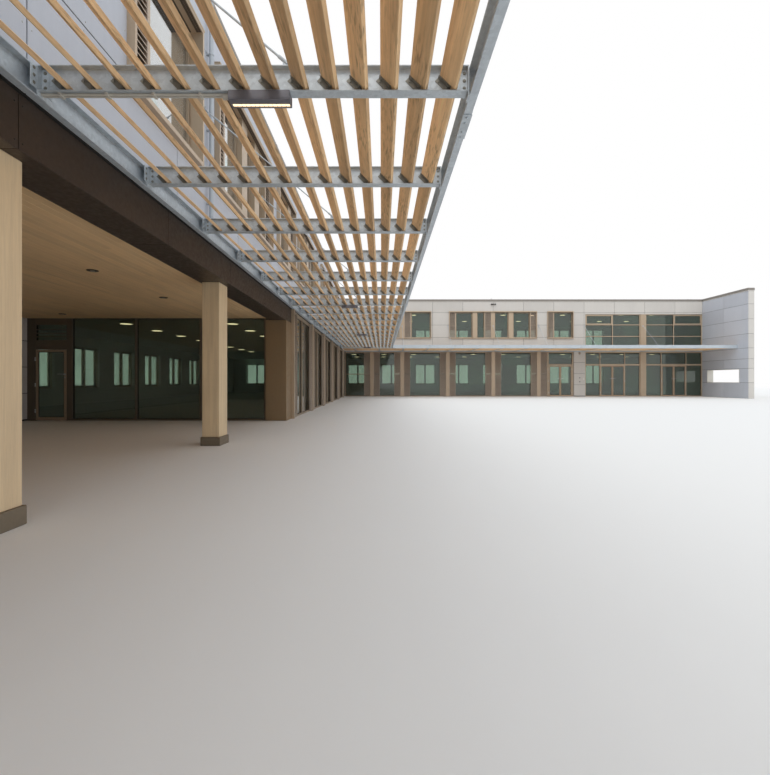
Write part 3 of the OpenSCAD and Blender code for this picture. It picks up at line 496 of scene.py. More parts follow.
class Finish:
    """A procedural material in the making, on Object coordinates."""

    def __init__(self, name):
        self.material = bpy.data.materials.new(name)
        self.material.use_nodes = True
        self.tree = self.material.node_tree
        self.shader = self.tree.nodes["Principled BSDF"]
        self.place = self.add("TexCoord", output="Object")

    def add(self, kind, inputs=(), output=0, **settings):
        """Adds a shader node and returns one of its outputs."""
        return add(self.tree, "ShaderNode" + kind, inputs, output, **settings)

    def set(self, **values):
        """Links or sets the shader's sockets."""
        for key, value in values.items():
            fill(self.tree, self.shader.inputs[key.replace("_", " ")], value)

    def tone(self):
        """The tone of each solid, from 0 to 1."""
        return self.add("Attribute", output="Fac", attribute_name="tone")

    def maths(self, operation, a, b):
        """One sum of two values."""
        return self.add("Math", {0: a, 1: b}, operation=operation)

    def grid(self, stretch=(1, 1, 1), offset=None, turn=(0, 0, 0)):
        """Object coordinates, moved by an offset where there is one, turned and stretched."""
        place = self.place
        if offset is not None:
            place = self.add("VectorMath", {0: place, 1: offset}, operation="ADD")
        return self.add("Mapping", {"Vector": place, "Rotation": turn, "Scale": stretch})

    def noise(self, scale, detail=3.0, roughness=0.55, distortion=0.0, **grid):
        """Fractal noise from 0 to 1."""
        return self.add("TexNoise", {"Vector": self.grid(**grid), "Scale": scale, "Detail": detail,
                                     "Roughness": roughness, "Distortion": distortion})

    def range(self, value, low, high, start=0.0, end=1.0):
        """Moves a value from one range to another."""
        return self.add("MapRange", {"Value": value, "From Min": start, "From Max": end,
                                     "To Min": low, "To Max": high})

    def mix(self, share_of_b, a, b, kind="MIX"):
        """Mixes two colours."""
        a, b = [c if isinstance(c, bpy.types.NodeSocket) else (*c[:3], 1) for c in (a, b)]
        return self.add("Mix", {"Factor": share_of_b, 6: a, 7: b}, 2, data_type="RGBA", blend_type=kind)

    def shaded(self, base, *shades):
        """A colour made darker and lighter by values from 0 to 1, each with its two limits."""
        for value, low, high in shades:
            grey = self.add("CombineColor", {i: self.range(value, low, high) for i in range(3)})
            base = self.mix(1.0, base, grey, "MULTIPLY")
        return base

    def bump(self, height, strength, distance):
        """Sets the surface's relief."""
        self.set(Normal=self.add("Bump", {"Height": height, "Strength": strength, "Distance": distance}))


ALL_WAYS = (1, 1, 1)
ALONG_Y = (1, 0.1, 1)


def panel_finish(name, base):
    """Fibre cement panels: soft patches, fine specks and faint rain streaks."""
    f = Finish(name)
    cloud = f.noise(1.6, 4)
    streak = f.noise(3.0, 4, 0.6, stretch=(9, 9, 0.5))
    speck = f.noise(260, 2, 0.7)
    f.set(Base_Color=f.shaded(base, (f.tone(), 0.955, 1.035), (cloud, 0.93, 1.07), (streak, 0.95, 1.04),
                              (speck, 0.94, 1.05)),
          Roughness=f.range(cloud, 0.55, 0.72))
    f.bump(speck, 0.12, 0.0006)
    return f.material


def metal_finish(name, base, metallic, rough=0.38, stretch=(1, 1, 0.08)):
    """Powder-coated or anodised metal: brushed along its length, a little dusty."""
    f = Finish(name)
    brushed = f.noise(90, 3, 0.6, stretch=stretch)
    f.set(Base_Color=f.shaded(base, (f.tone(), 0.94, 1.05), (brushed, 0.93, 1.06),
                              (f.noise(2.2, 4), 0.9, 1.08)),
          Metallic=metallic,
          Roughness=f.range(f.noise(40, 3), rough - 0.07, rough + 0.12, 0.3, 0.7))
    f.bump(brushed, 0.06, 0.0004)
    return f.material


def galvanised_finish(name, base):
    """Hot-dip galvanised steel: spangles of many greys, dull and bright."""
    f = Finish(name)
    spangle = f.add("TexVoronoi", {"Vector": f.grid(), "Scale": 62, "Randomness": 1.0}, "Color")
    greys = [f.add("SeparateColor", {0: spangle}, i) for i in range(3)]
    f.set(Base_Color=f.shaded(base, (f.noise(420, 2, 0.7), 0.84, 1.12), (greys[0], 0.9, 1.06),
                              (f.noise(3.5, 5), 0.88, 1.10), (f.tone(), 0.95, 1.05)),
          Metallic=0.25,
          Roughness=f.range(greys[1], 0.36, 0.56))
    f.bump(greys[2], 0.08, 0.0005)
    return f.material


def timber_finish(name, base, along, scale=1.0, rough=0.62, contrast=1.0, vary=0.19, sawn=0.0):
    """Timber with its grain along an axis, each board with another part of the grain."""
    f = Finish(name)
    stretch = tuple(1.4 if axis == along else 34.0 for axis in "xyz")
    tone = f.tone()
    away = f.add("VectorMath", {0: (37.1, 53.3, 71.7), 3: tone}, operation="SCALE")
    rings = f.noise(0.55 * scale, 5, 0.62, 0.6, stretch=stretch, offset=away)
    fibre = f.noise(4.2 * scale, 4, 0.7, stretch=stretch, offset=away)
    patch = f.noise(2.4, 3, 0.5, offset=away)
    dark = tuple(c * k for c, k in zip(base, (0.56, 0.48, 0.42)))
    light = tuple(min(1, c * k) for c, k in zip(base, (1.14, 1.14, 1.12)))
    grain = f.mix(f.range(rings, 0.5 - 0.5 * contrast, 0.5 + 0.5 * contrast, 0.3, 0.7), dark, light)
    tinted = f.shaded(f.mix(0.55, base, grain), (fibre, 1 - 0.28 * contrast, 1 + 0.22 * contrast),
                      (patch, 0.9, 1.1))
    if sawn:
        lines = (12, 95, 95) if along == "x" else (95, 12, 95)
        marks = f.noise(1.0, 3, 0.5, stretch=lines, offset=away, turn=(0, 0, 0.6))
        worn = f.maths("MULTIPLY", f.range(marks, 0.0, 1.0, 0.5, 0.68), f.range(patch, 0.2, 1.0, 0.45, 0.6))
        tinted = f.shaded(tinted, (worn, 1 + 0.3 * sawn, 1 - sawn))
    f.set(Base_Color=f.shaded(tinted, (tone, 1 - vary, 1 + vary)),
          Roughness=f.range(fibre, rough - 0.08, rough + 0.14, 0.3, 0.7))
    f.bump(f.maths("ADD", rings, fibre), 0.32, 0.0016)
    return f.material


def glass_finish(name, base, coat_ior, metallic=0.0):
    """Tinted glazing with a reflecting coat and a faint film on it. Its green specular tint is a painted
    reflection that turns every reflection green.
    """
    f = Finish(name)
    film = f.noise(1.3, 4)
    # The green specular tint paints a green reflection into the glass.
    f.set(Base_Color=f.shaded(base, (film, 0.9, 1.08)), Transmission_Weight=0.94, Metallic=metallic,
          IOR=1.5, Specular_Tint=(0.86, 1.0, 0.90, 1), Coat_Weight=1.0, Coat_Roughness=0.01,
          Coat_IOR=coat_ior, Roughness=f.range(film, 0.0, 0.02, 0.5, 0.8))
    f.bump(f.noise(0.9, 2), 0.05, 0.004)
    return f.material


def glow_finish(name, base, strength):
    """The lit lens of a lamp, with a fine prism pattern."""
    f = Finish(name)
    f.set(Base_Color=(*base, 1), Emission_Color=f.shaded(base, (f.noise(120, 1), 0.9, 1.05)),
          Emission_Strength=strength, Roughness=0.4)
    return f.material


def rough_finish(name, base, rough=0.8, scale=18.0, low=0.82, high=1.14, relief=0.0012):
    """Concrete, membrane or rubber: cloudy and grained."""
    f = Finish(name)
    cloud = f.noise(scale * 0.12, 5)
    grain = f.noise(scale * 9, 3, 0.7)
    f.set(Base_Color=f.shaded(base, (cloud, low, high), (grain, 0.92, 1.08)),
          Roughness=f.range(cloud, rough - 0.1, min(1, rough + 0.1)))
    f.bump(grain, 0.25, relief)
    return f.material


finishes = {}


def make_finishes():
    """All materials of the building, by their looks."""
    c = props("colours")
    finishes.update(
        panel=panel_finish("facade_panel", c.panel),
        # A cooler copy of the panel finish for the faces along the court: painted shade.
        cool_panel=panel_finish("cool_panel", c.cool_panel),
        core=rough_finish("joint_backing", srgb("1b1917")),
        coping=metal_finish("coping_metal", c.coping, 0.35, 0.5, ALL_WAYS),
        bronze=metal_finish("bronze_bars", c.bronze, 0.35),
        sash=metal_finish("sash_bronze", [v * 0.8 for v in c.bronze], 0.35),
        dark_sash=metal_finish("dark_sash", [v * 0.28 for v in c.bronze], 0.35),
        dark_door=metal_finish("dark_door", [v * 0.32 for v in c.bronze], 0.4, 0.4),
        shutter=metal_finish("shutter_bronze", c.shutter, 0.3, 0.42),
        fascia=metal_finish("dark_fascia", c.fascia, 0.25, 0.42, ALONG_Y),
        pillar=metal_finish("pillar_bronze", c.pillar, 0.5, 0.4),
        base=metal_finish("base_metal", srgb("857967"), 0.4, 0.45, ALL_WAYS),
        column=timber_finish("column_timber", c.column, "z", 1.8, 0.6, 0.55, 0.05),
        # The soffit, larch and steel finishes carry painted light in their lightened colours.
        soffit=timber_finish("soffit_timber", c.soffit, "y", 2.4, 0.55, 0.3, 0.06),
        larch_x=timber_finish("larch_across", c.larch, "x", sawn=0.4),
        larch_y=timber_finish("larch_along", c.larch, "y", sawn=0.4),
        steel=galvanised_finish("galvanised_steel", c.steel),
        plate=metal_finish("bracket_steel", srgb("8a8880"), 0.3, 0.5, ALL_WAYS),
        conduit=metal_finish("conduit_grey", srgb("cdc9bf"), 0.1, 0.45, ALL_WAYS),
        zinc=metal_finish("zinc_pipe", srgb("b9c0c6"), 0.3, 0.42),
        lens=rough_finish("dull_lens", srgb("8a8578"), 0.3, 40.0),
        plaster=rough_finish("room_plaster", c.plaster, 0.8, 10.0, 0.95, 1.03, 0.0006),
        dark=metal_finish("dark_metal", srgb("2a2724"), 0.4, 0.45, ALL_WAYS),
        # Painted shade: the dark brown of the window heads stands in for the bronze in shade under each head.
        head=metal_finish("head_painted_shade", srgb("5a4f45"), 0.2, 0.5, ALL_WAYS),
        housing=metal_finish("lamp_housing", srgb("717179"), 0.3, 0.42, ALL_WAYS),
        stainless=metal_finish("stainless", srgb("b9bab8"), 0.95, 0.28),
        lining=metal_finish("lining_metal", srgb("c2ae92"), 0.35, 0.45, ALONG_Y),
        pale_lining=metal_finish("pale_lining", srgb("e6e2d8"), 0.1, 0.5, ALL_WAYS),
        door=metal_finish("door_bronze", srgb("ad977f"), 0.5, 0.4),
        glass=glass_finish("tinted_glass", c.glass, 1.35),
        mirror_glass=glass_finish("mirror_glass", srgb("dfe8ea"), 2.6, 0.3),
        gasket=rough_finish("gasket_rubber", srgb("1d1c1b"), 0.7),
        concrete=rough_finish("concrete", c.concrete),
        roof=rough_finish("roof_membrane", c.roof, 0.85, 8.0),
        glow=glow_finish("lamp_lens", c.lamp, 1.5),
        dim_glow=glow_finish("room_lamp_lens", c.lamp, 2.0),
    )


# Geometry Nodes trees for what repeats

trees = {}


class Grower:
    """A node tree in the making: a mesh, a material and named sizes go in, and pieces come out."""

    def __init__(self, name, *sizes):
        self.tree = bpy.data.node_groups.new(name, "GeometryNodeTree")
        kinds = {"Points": "Geometry", "Material": "Material", **dict.fromkeys(sizes, "Float")}
        for key, kind in kinds.items():
            self.tree.interface.new_socket(key, in_out="INPUT", socket_type="NodeSocket" + kind)
        self.tree.interface.new_socket("Pieces", in_out="OUTPUT", socket_type="NodeSocketGeometry")
        self.inputs = self.tree.nodes.new("NodeGroupInput").outputs
        self.sizes = [self.inputs[size] for size in sizes]

    def add(self, kind, inputs=(), output=0, **settings):
        """Adds a geometry node and returns one of its outputs."""
        return add(self.tree, "GeometryNode" + kind, inputs, output, **settings)

    def vector(self, x=0.0, y=0.0, z=0.0):
        """A vector from three values or sockets."""
        return add(self.tree, "ShaderNodeCombineXYZ", {0: x, 1: y, 2: z})

    def times(self, value, factor):
        """A value times a number."""
        return add(self.tree, "ShaderNodeMath", {0: value, 1: factor}, operation="MULTIPLY")

    def moved(self, geometry, offset=(0, 0, 0), turn=(0, 0, 0)):
        """A geometry, turned and moved."""
        return self.add("Transform", {"Geometry": geometry, "Translation": offset, "Rotation": turn})

    def block(self, x, y, z):
        """A block of three sizes round the origin."""
        return self.add("MeshCube", {"Size": self.vector(x, y, z)})

    def bar(self, radius, depth, sides):
        """A round bar along Z."""
        return self.add("MeshCylinder", {"Vertices": sides, "Radius": radius, "Depth": depth})

    def join(self, parts):
        """Several geometries as one."""
        return self.add("JoinGeometry", {0: parts})

    def on_points(self, shape, points=None):
        """Sets a shape on points, turned and sized by their attributes, with a tone for each."""
        turn, size = [self.add("InputNamedAttribute", {"Name": key}, data_type="FLOAT_VECTOR")
                      for key in ("turn", "size")]
        copies = self.add("InstanceOnPoints", {
            "Points": points or self.inputs["Points"], "Instance": shape, "Scale": size,
            "Rotation": add(self.tree, "FunctionNodeEulerToRotation", {0: turn})})
        tone = add(self.tree, "FunctionNodeRandomValue", {"Seed": 7}, 1, data_type="FLOAT")
        toned = self.add("StoreNamedAttribute", {"Geometry": copies, "Name": "tone", "Value": tone},
                         data_type="FLOAT", domain="INSTANCE")
        whole = self.add("RealizeInstances", {"Geometry": toned})
        done = self.add("SetMaterial", {"Geometry": whole, "Material": self.inputs["Material"]})
        add(self.tree, "NodeGroupOutput", {0: done})
        return self.tree


def screw_tree():
    """A low round screw head that stands on its point along Z."""
    g = Grower("Panel screws", "Radius", "Height")
    radius, height = g.sizes
    return g.on_points(g.add("MeshCone", {"Vertices": 8, "Radius Top": g.times(radius, 0.5),
                                          "Radius Bottom": radius, "Depth": height}))


def bolt_tree():
    """A hexagon bolt head on a round washer, along Z."""
    g = Grower("Bolts", "Radius", "Height")
    radius, height = g.sizes
    rounds = ((g.times(radius, 1.5), g.times(height, 0.3), 10), (radius, height, 6))
    return g.on_points(g.join([g.moved(g.bar(wide, tall, sides), g.vector(z=g.times(tall, 0.5)))
                               for wide, tall, sides in rounds]))


def blade_tree():
    """Louvre blades up each line, one unit long across X before they are sized."""
    g = Grower("Louvre blades", "Pitch", "Depth", "Thickness", "Lip", "Lean")
    pitch, depth, thick, lip, lean = g.sizes
    line = g.add("MeshToCurve", {"Mesh": g.inputs["Points"]})
    points = g.add("ResampleCurve", {"Curve": line, "Length": pitch}, mode="LENGTH")
    front = g.moved(g.block(1.0, thick, lip), g.vector(y=g.times(depth, -0.5)),
                    g.vector(x=g.times(lean, -1.0)))
    blade = g.moved(g.join([g.block(1.0, depth, thick), front]), turn=g.vector(x=lean))
    return g.on_points(blade, points)


def slat_tree():
    """Timber slats with rounded edges, one unit long across X before they are sized."""
    g = Grower("Timber slats", "Width", "Thickness", "Rounding")
    width, thick, rounding = g.sizes
    section = g.add("CurvePrimitiveQuadrilateral", {"Width": width, "Height": thick})
    rounded = g.add("FilletCurve", {"Curve": section, "Radius": rounding, "Count": 2}, mode="POLY")
    axis = g.add("CurvePrimitiveLine", {"Start": (-0.5, 0, 0), "End": (0.5, 0, 0)})
    return g.on_points(g.add("CurveToMesh", {"Curve": axis, "Profile Curve": rounded, "Fill Caps": True}))


def bracket_tree():
    """An angle bracket with four bolts. X leaves the beam, Y is along the slat, Z leaves its lower face."""
    g = Grower("Slat brackets", "Length", "Leg", "Thickness", "Bolt")
    size, leg, thick, radius = g.sizes
    half_leg, half_thick = g.times(leg, 0.5), g.times(thick, 0.5)
    parts = [g.moved(g.block(thick, size, leg), g.vector(half_thick, 0, half_leg)),
             g.moved(g.block(leg, size, thick), g.vector(half_leg, 0, half_thick))]
    bolt = g.bar(radius, g.times(thick, 2.0), 6)
    out, across = g.times(thick, 1.8), g.times(leg, 0.6)
    for side in (0.3, -0.3):
        along = g.times(size, side)
        parts.append(g.moved(bolt, g.vector(out, along, across), (0, math.pi / 2, 0)))
        parts.append(g.moved(bolt, g.vector(across, along, out)))
    return g.on_points(g.join(parts))


def turn_to(x_way, y_way):
    """The turn that brings X and Y to two directions."""
    return Matrix((x_way, y_way, x_way.cross(y_way))).transposed().to_euler()


class Spots:
    """Points in the making, each with a turn and a size, for a node tree to set pieces on."""

    def __init__(self):
        self.points, self.edges, self.turns, self.spans = [], [], [], []

    def add(self, point, turn, span=1.0):
        """A point, the turn of its piece, and the piece's length along X."""
        self.points.append(point)
        self.turns.append(turn)
        self.spans.append((span, 1, 1))

    def stand(self, point, way):
        """A point whose piece has its Z along a direction."""
        self.add(point, way.to_track_quat("Z", "Y").to_euler())

    def grow(self, name, tree, look, slot, replaces=(), **sizes):
        """The finished object that a node tree makes of the points, with its sizes by their names."""
        mesh = bpy.data.meshes.new(name)
        mesh.from_pydata(self.points, self.edges, [])
        for key, values in (("turn", self.turns), ("size", self.spans)):
            layer = mesh.attributes.new(key, "FLOAT_VECTOR", "POINT")
            for item, value in zip(layer.data, values):
                item.vector = value
        obj = placed(name, mesh)
        modifier = obj.modifiers.new(trees[tree].name, "NODES")
        modifier.node_group = trees[tree]
        sizes["Material"] = finishes[look]
        for item in trees[tree].interface.items_tree:
            if item.name in sizes:
                modifier[item.identifier] = sizes[item.name]
        apply_modifiers(obj)
        settle(obj, replaces=replaces)


# Cladding

SKIN_T = 0.02
PANEL_FOOT = 0.02
SCREW_PITCH = 0.4
GROUND_ROWS = (0, 0.45, 0.95, 1.45, 1.88)
FIN_ROWS = (0, 0.575, 1.09, 1.44, 1.83, 2.35, 2.88, 3.42, WALL_TOP)


def upper_rows():
    """The level joints of the upper storey's panels over its first row, and the walls' top."""
    c = props("cladding")
    return [*[c.first_row + k * c.row for k in range(3)], WALL_TOP]


def free_cells(u0, u1, z0, z1, holes):
    """What holes leave of a rectangle, as cells cut at the holes' edges."""
    us = sorted({round(u, 4) for u in (u0, u1, *[u for h in holes for u in h[:2] if u0 < u < u1])})
    zs = sorted({round(z, 4) for z in (z0, z1, *[z for h in holes for z in h[2:] if z0 < z < z1])})
    return [(a, b, c, d) for a, b in pairwise(us) for c, d in pairwise(zs)
            if not any(h[0] < (a + b) / 2 < h[1] and h[2] < (c + d) / 2 < h[3] for h in holes)]


def touch(a, b):
    """Whether two cells share an edge."""
    in_line = min(a[1], b[1]) - max(a[0], b[0])
    in_height = min(a[3], b[3]) - max(a[2], b[2])
    return (abs(in_line) < MERGE and in_height > MERGE) or (abs(in_height) < MERGE and in_line > MERGE)


def joined_cells(cells):
    """Groups of cells that touch along an edge."""
    groups = []
    for cell in cells:
        near = [g for g in groups if any(touch(cell, other) for other in g)]
        merged = [cell] + [c for g in near for c in g]
        groups = [g for g in groups if g not in near] + [merged]
    return groups


def window_frames():
    """The wall face and the limits of each window's surround, without the posts in it."""
    return [found for found in on_walls("window_surrounds") if found[3][1] - found[3][0] > WIN_H - 0.0004]


def window_holes(face):
    """The window openings in a wall face, as (u0, u1, z0, z1)."""
    return [(*u, *z) for other, u, w, z in window_frames() if other is face]


def fin_holes(face):
    """The fin wall's window as an opening in one of its faces."""
    u, w, z = face.reach("fin_window_lining")
    return [(*u, *z)]


class Walls:
    """What stands behind the panels: a dark skin at their back, and plaster towards the rooms."""

    def __init__(self, seed):
        self.skin, self.plaster = Shape(seed), Shape(seed + 1)

    def block(self, face, u, z, depth=WALL):
        """A part of a wall, with the dark skin in front of the plaster."""
        front = -props("cladding").thickness
        back = front - SKIN_T
        self.skin.block(face, u, (back, front), z)
        self.plaster.block(face, u, (-depth, back), z)

    def fill(self, face, u0, u1, z0, holes):
        """What the openings leave of a wall, up to its top."""
        for cell in free_cells(u0, u1, z0, WALL_TOP, holes):
            self.block(face, cell[:2], cell[2:])

    def pieces(self, name, nodes):
        """The skin and the plaster as finished objects."""
        self.skin.piece(name + "_skin", "core", "facade_panel", replaces=nodes)
        self.plaster.piece(name + "_plaster", "plaster", "concrete")


class Cladding:
    """Facade panels on wall faces, with their screws."""

    def __init__(self, seed):
        self.shape, self.screws = Shape(seed), Spots()

    def wall(self, face, us, zs, holes=()):
        """Panels between upright joints us and level joints zs, round the holes."""
        c = props("cladding")
        for u in pairwise(us):
            for z in pairwise(zs):
                cells = free_cells(*inset(u, c.gap / 2), *inset(z, c.gap / 2), holes)
                for group in joined_cells(cells):
                    self.shape.panel(face, group, c.thickness)
                    self.fix(face, group, c.screw_set)

    def fix(self, face, cells, edge):
        """Screws at the corners and middles of a panel's outer edges."""
        u0, u1 = inset((min(c[0] for c in cells), max(c[1] for c in cells)), edge)
        z0, z1 = inset((min(c[2] for c in cells), max(c[3] for c in cells)), edge)
        n = max(1, round((u1 - u0) / SCREW_PITCH))
        spots = {(u0 + (u1 - u0) * i / n, z) for i in range(n + 1) for z in (z0, z1)}
        spots |= {(u, (z0 + z1) / 2) for u in (u0, u1)}
        for u, z in sorted(spots):
            if any(c[0] + edge / 2 < u < c[1] - edge / 2 and c[2] < z < c[3] for c in cells):
                self.screws.stand(face.at(u, 0, z), face.out)

    def pieces(self, name, look):
        """The panels and their screws as finished objects."""
        self.shape.piece(name + "_panels", look, "facade_panel", bevel=0.0012)
        self.screws.grow(name + "_screws", "screw", "stainless", "facade_panel",
                         Radius=props("cladding").screw, Height=0.0022)


class SCHOOL_OT_court_cladding(bpy.types.Operator):
    """Puts separate panels on both court faces, the entrance header and the entrance pier"""
    bl_idname = "school.court_cladding"
    bl_label = "Court cladding"

    def execute(self, context):
        c = props("cladding")
        rows = [STOREY, *upper_rows()]
        pier_low, pier_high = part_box("entrance_pier")
        pier_u, entrance_u = pier_low.x - CORNER.x, wall_high.x - CORNER.x
        pier_rows = [*[PANEL_FOOT + 0.9 * c.row * k for k in range(4)], pier_high.z]
        far_holes = [*window_holes(FAR), (entrance_u, FAR_LEN, STOREY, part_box("entrance_header")[0].z)]
        left_holes = window_holes(LEFT)
        far, left, walls = Cladding(11), Cladding(12), Walls(13)
        far.wall(FAR, steps(0, FAR_LEN, c.far_first, c.far_width), rows, far_holes)
        far.wall(FAR, [pier_u, entrance_u], pier_rows)
        far.pieces("far_wall", "panel")
        left.wall(LEFT, steps(0, LEFT_LEN, c.left_first, c.left_width), rows, left_holes)
        # The left wing's panels take the cooler copy of the panel finish, which is painted shade.
        left.pieces("left_wall", "cool_panel")
        walls.fill(FAR, 0, FAR_LEN, STOREY, far_holes)
        walls.block(FAR, inset((pier_u, entrance_u), c.thickness), (0, STOREY))
        walls.fill(LEFT, 0, LEFT_LEN - c.thickness, STOREY, left_holes)
        walls.pieces("court_wall", ("far_upper_wall", "left_upper_wall", "entrance_header", "entrance_pier"))
        return {"FINISHED"}


class SCHOOL_OT_plain_cladding(bpy.types.Operator):
    """Puts separate panels on the back, outer, end and gable walls and on the fin wall"""
    bl_idname = "school.plain_cladding"
    bl_label = "Plain cladding"

    def execute(self, context):
        c = props("cladding")
        t, width = c.thickness, c.plain_width
        walls, gable, fin = Walls(21), Cladding(23), Cladding(24)
        for name, face, long, first in (("back", BACK, BACK_LEN, FIN_T), ("outer", OUTER, LEFT_LEN + WING, 0),
                                        ("end", END, WING, 0)):
            holes = window_holes(face)
            ends = inset((0, long), 0 if name == "outer" else t)
            covered = [(long - WALL - t, long + 1, 0, STOREY)] if name == "end" else []
            clad = Cladding(22)
            clad.wall(face, steps(*ends, first + width, width), [*GROUND_ROWS, *upper_rows()],
                      holes + covered)
            clad.pieces(name + "_wall", "panel")
            u = face.reach(name + "_wall")[0]
            walls.fill(face, u[0] + (t if name == "outer" else 0), u[1] - (0 if name == "end" else t), 0,
                       holes)
        gable.wall(GABLE, steps(0, FIN_OUT + WING, FIN_OUT, width), FIN_ROWS, fin_holes(GABLE))
        gable.wall(FIN_EDGE, [t, FIN_T - t], FIN_ROWS)
        gable.pieces("gable_wall", "panel")
        fin.wall(FIN, [0, FIN_OUT / 2, FIN_OUT], FIN_ROWS, fin_holes(FIN))
        # The fin's inner face takes the cooler copy of the panel finish, which is painted shade.
        fin.pieces("fin_wall", "cool_panel")
        for u0, u1, *z in free_cells(0, FIN_OUT, 0, WALL_TOP, fin_holes(FIN)):
            end = u1 - (t if u1 > FIN_OUT - MERGE else 0)
            walls.skin.block(FIN, (u0, end), (t - FIN_T, -t), z)
        walls.block(GABLE, (FIN_OUT, FIN_OUT + WING - t), (0, WALL_TOP), FIN_T)
        walls.pieces("plain_wall", ("back_wall", "outer_wall", "end_wall", "gable_wall", "fin_wall"))
        return {"FINISHED"}


class SCHOOL_OT_structure(bpy.types.Operator):
    """Finishes floors, roof, coping, fin window lining and the entrance post"""
    bl_idname = "school.structure"
    bl_label = "Floors, roof and coping"

    def execute(self, context):
        for node in ("ground_floor", "first_floor", "roof_slabs"):
            dress(node, "concrete")
        self.membrane()
        self.coping()
        copied("lining", "fin_window_lining", "pale_lining", "lining_metal", seed=31)
        copied("post", "entrance_post", "bronze", "bronze_metal", 0.003, 31)
        self.coping_straps()
        return {"FINISHED"}

    def membrane(self):
        """Roof membrane in wide strips, every other one lapped over its neighbours."""
        sheet, edge, width, thick, lap = Shape(33), 0.003, 1.0, 0.008, 0.004
        for low, high in solids("roof_slabs"):
            long = 0 if high.x - low.x > high.y - low.y else 1
            sides = [inset((low[i], high[i]), edge) for i in (0, 1)]
            joints = steps(*sides[long], low[long] + width, width)
            for i, strip in enumerate(pairwise(joints)):
                sides[long] = strip
                sheet.block(FRAME, *sides, (high.z, high.z + thick + lap * (i % 2)))
        sheet.piece("roof_membrane", "roof", "concrete")

    def coping(self):
        """The copings' metal caps, over a strip of facade panel set back under them."""
        strip, cap, cap_h, back = Shape(34), Shape(35), 0.088, 0.006
        for low, high in solids("roof_copings"):
            x, y, z = zip(low, high)
            middle = z[1] - cap_h
            strip.block(FRAME, inset(x, back), inset(y, back), (z[0], middle))
            cap.block(FRAME, x, y, (middle, z[1]))
        strip.piece("coping_strip", "panel", "facade_panel", bevel=0.001)
        cap.piece("coping", "coping", "coping_metal", bevel=0.004, replaces=("roof_copings",))

    def coping_straps(self):
        """Cover straps over the joints of the coping."""
        straps, width, skin, tall, pitch, end = Shape(32), 0.05, 0.0015, 0.09, 1.5, 0.3
        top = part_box("roof_copings")[1]
        over = top.x - gable_high.x
        runs = ((FAR, FAR_LEN, 0.6), (LEFT, LEFT_LEN, 0.6), (BACK, BACK_LEN, 0.8),
                (OUTER, LEFT_LEN + WING, 0.8), (GABLE, FIN_OUT + WING, 0.9), (END, WING, 0.9))
        for face, long, first in runs:
            deep = (FIN_T if face is GABLE else WALL) + 2 * over
            for u in places(first, long - end, pitch):
                straps.block(face, (u, u + width), (over - deep - skin, over + skin),
                             (top.z - tall, top.z + skin))
        straps.piece("coping_straps", "coping", "coping_metal", bevel=0.0008)


class SCHOOL_OT_shutters(bpy.types.Operator):
    """Builds framed louvre shutters of both storeys with open blades"""
    bl_idname = "school.shutters"
    bl_label = "Louvre shutters"

    def execute(self, context):
        s = props("louvres")
        for node, depth, folded in (("ground_shutters", s.thin_depth, True),
                                    ("window_shutters", s.depth, False)):
            frames, lines = Shape(41), Spots()
            for face, u, w, z in on_walls(node):
                half = (w[1] - w[0] - s.leaf_gap) / 2
                back, front = (w[0], w[0] + half), (w[1] - half, w[1])
                for depths, lift in ((back, s.pitch / 2), (front, 0)) if folded else ((w, 0),):
                    self.leaf(frames, lines, face, u, depths, z, lift)
            frames.piece(node + "_frames", "shutter", "shutter_metal", bevel=0.001, replaces=(node,))
            lines.grow(node + "_blades", "blade", "shutter", "shutter_metal", Pitch=s.pitch, Depth=depth,
                       Thickness=s.thickness, Lip=s.lip, Lean=s.lean)
        return {"FINISHED"}

    def leaf(self, frames, lines, face, u, w, z, lift):
        """One framed leaf, and the two upright lines that carry its blades."""
        s = props("louvres")
        edge, inner = s.stile, inset(u, s.stile)
        rail = about(sum(z) / 2, edge / 2)
        for limits in ((u[0], u[0] + edge), (u[1] - edge, u[1])):
            frames.block(face, limits, w, z)
        for limits in ((z[0], z[0] + edge), rail, (z[1] - edge, z[1])):
            frames.block(face, inner, w, limits)
        turn = (0, 0, math.atan2(face.out.y, face.out.x) + math.pi / 2)
        for limits in ((z[0] + edge, rail[0]), (rail[1], z[1] - edge)):
            lines.edges.append((len(lines.points), len(lines.points) + 1))
            for height in inset(limits, s.pitch / 2 + lift):
                lines.add(face.at(sum(u) / 2, sum(w) / 2, height), turn, inner[1] - inner[0])


# Windows, glazing and doors

HEAD_BARS = ((-0.076, -0.06), (-0.057, -0.042), (0.002, 0.02), (0.023, 0.043))
GRILLE_BARS = ((0.0, 0.2), (0.31, 0.34), (0.44, 0.47), (0.57, 0.6), (0.76, 1.0))
DOOR_GLASS = 0.007
DOOR_SEAL = 0.006
ROSE_R = 0.015
LOCK_R = 0.012
ROSE_T = 0.004
LOCK_DROP = 0.05
HANDLE_NECK = 0.03


def pane_beads(node, name):
    """Dark beads on both sides of every pane of a glass node."""
    beads, bead = Shape(52), props("glazing").bead
    for low, high in solids(node):
        face = FAR if high.x - low.x > high.y - low.y else LEFT
        u, w, z = face.span(low, high)
        for limits in ((w[1], w[1] + bead), (w[0] - bead, w[0])):
            rim(beads, face, u, limits, z, bead)
    beads.piece(name, "gasket", "window_metal")


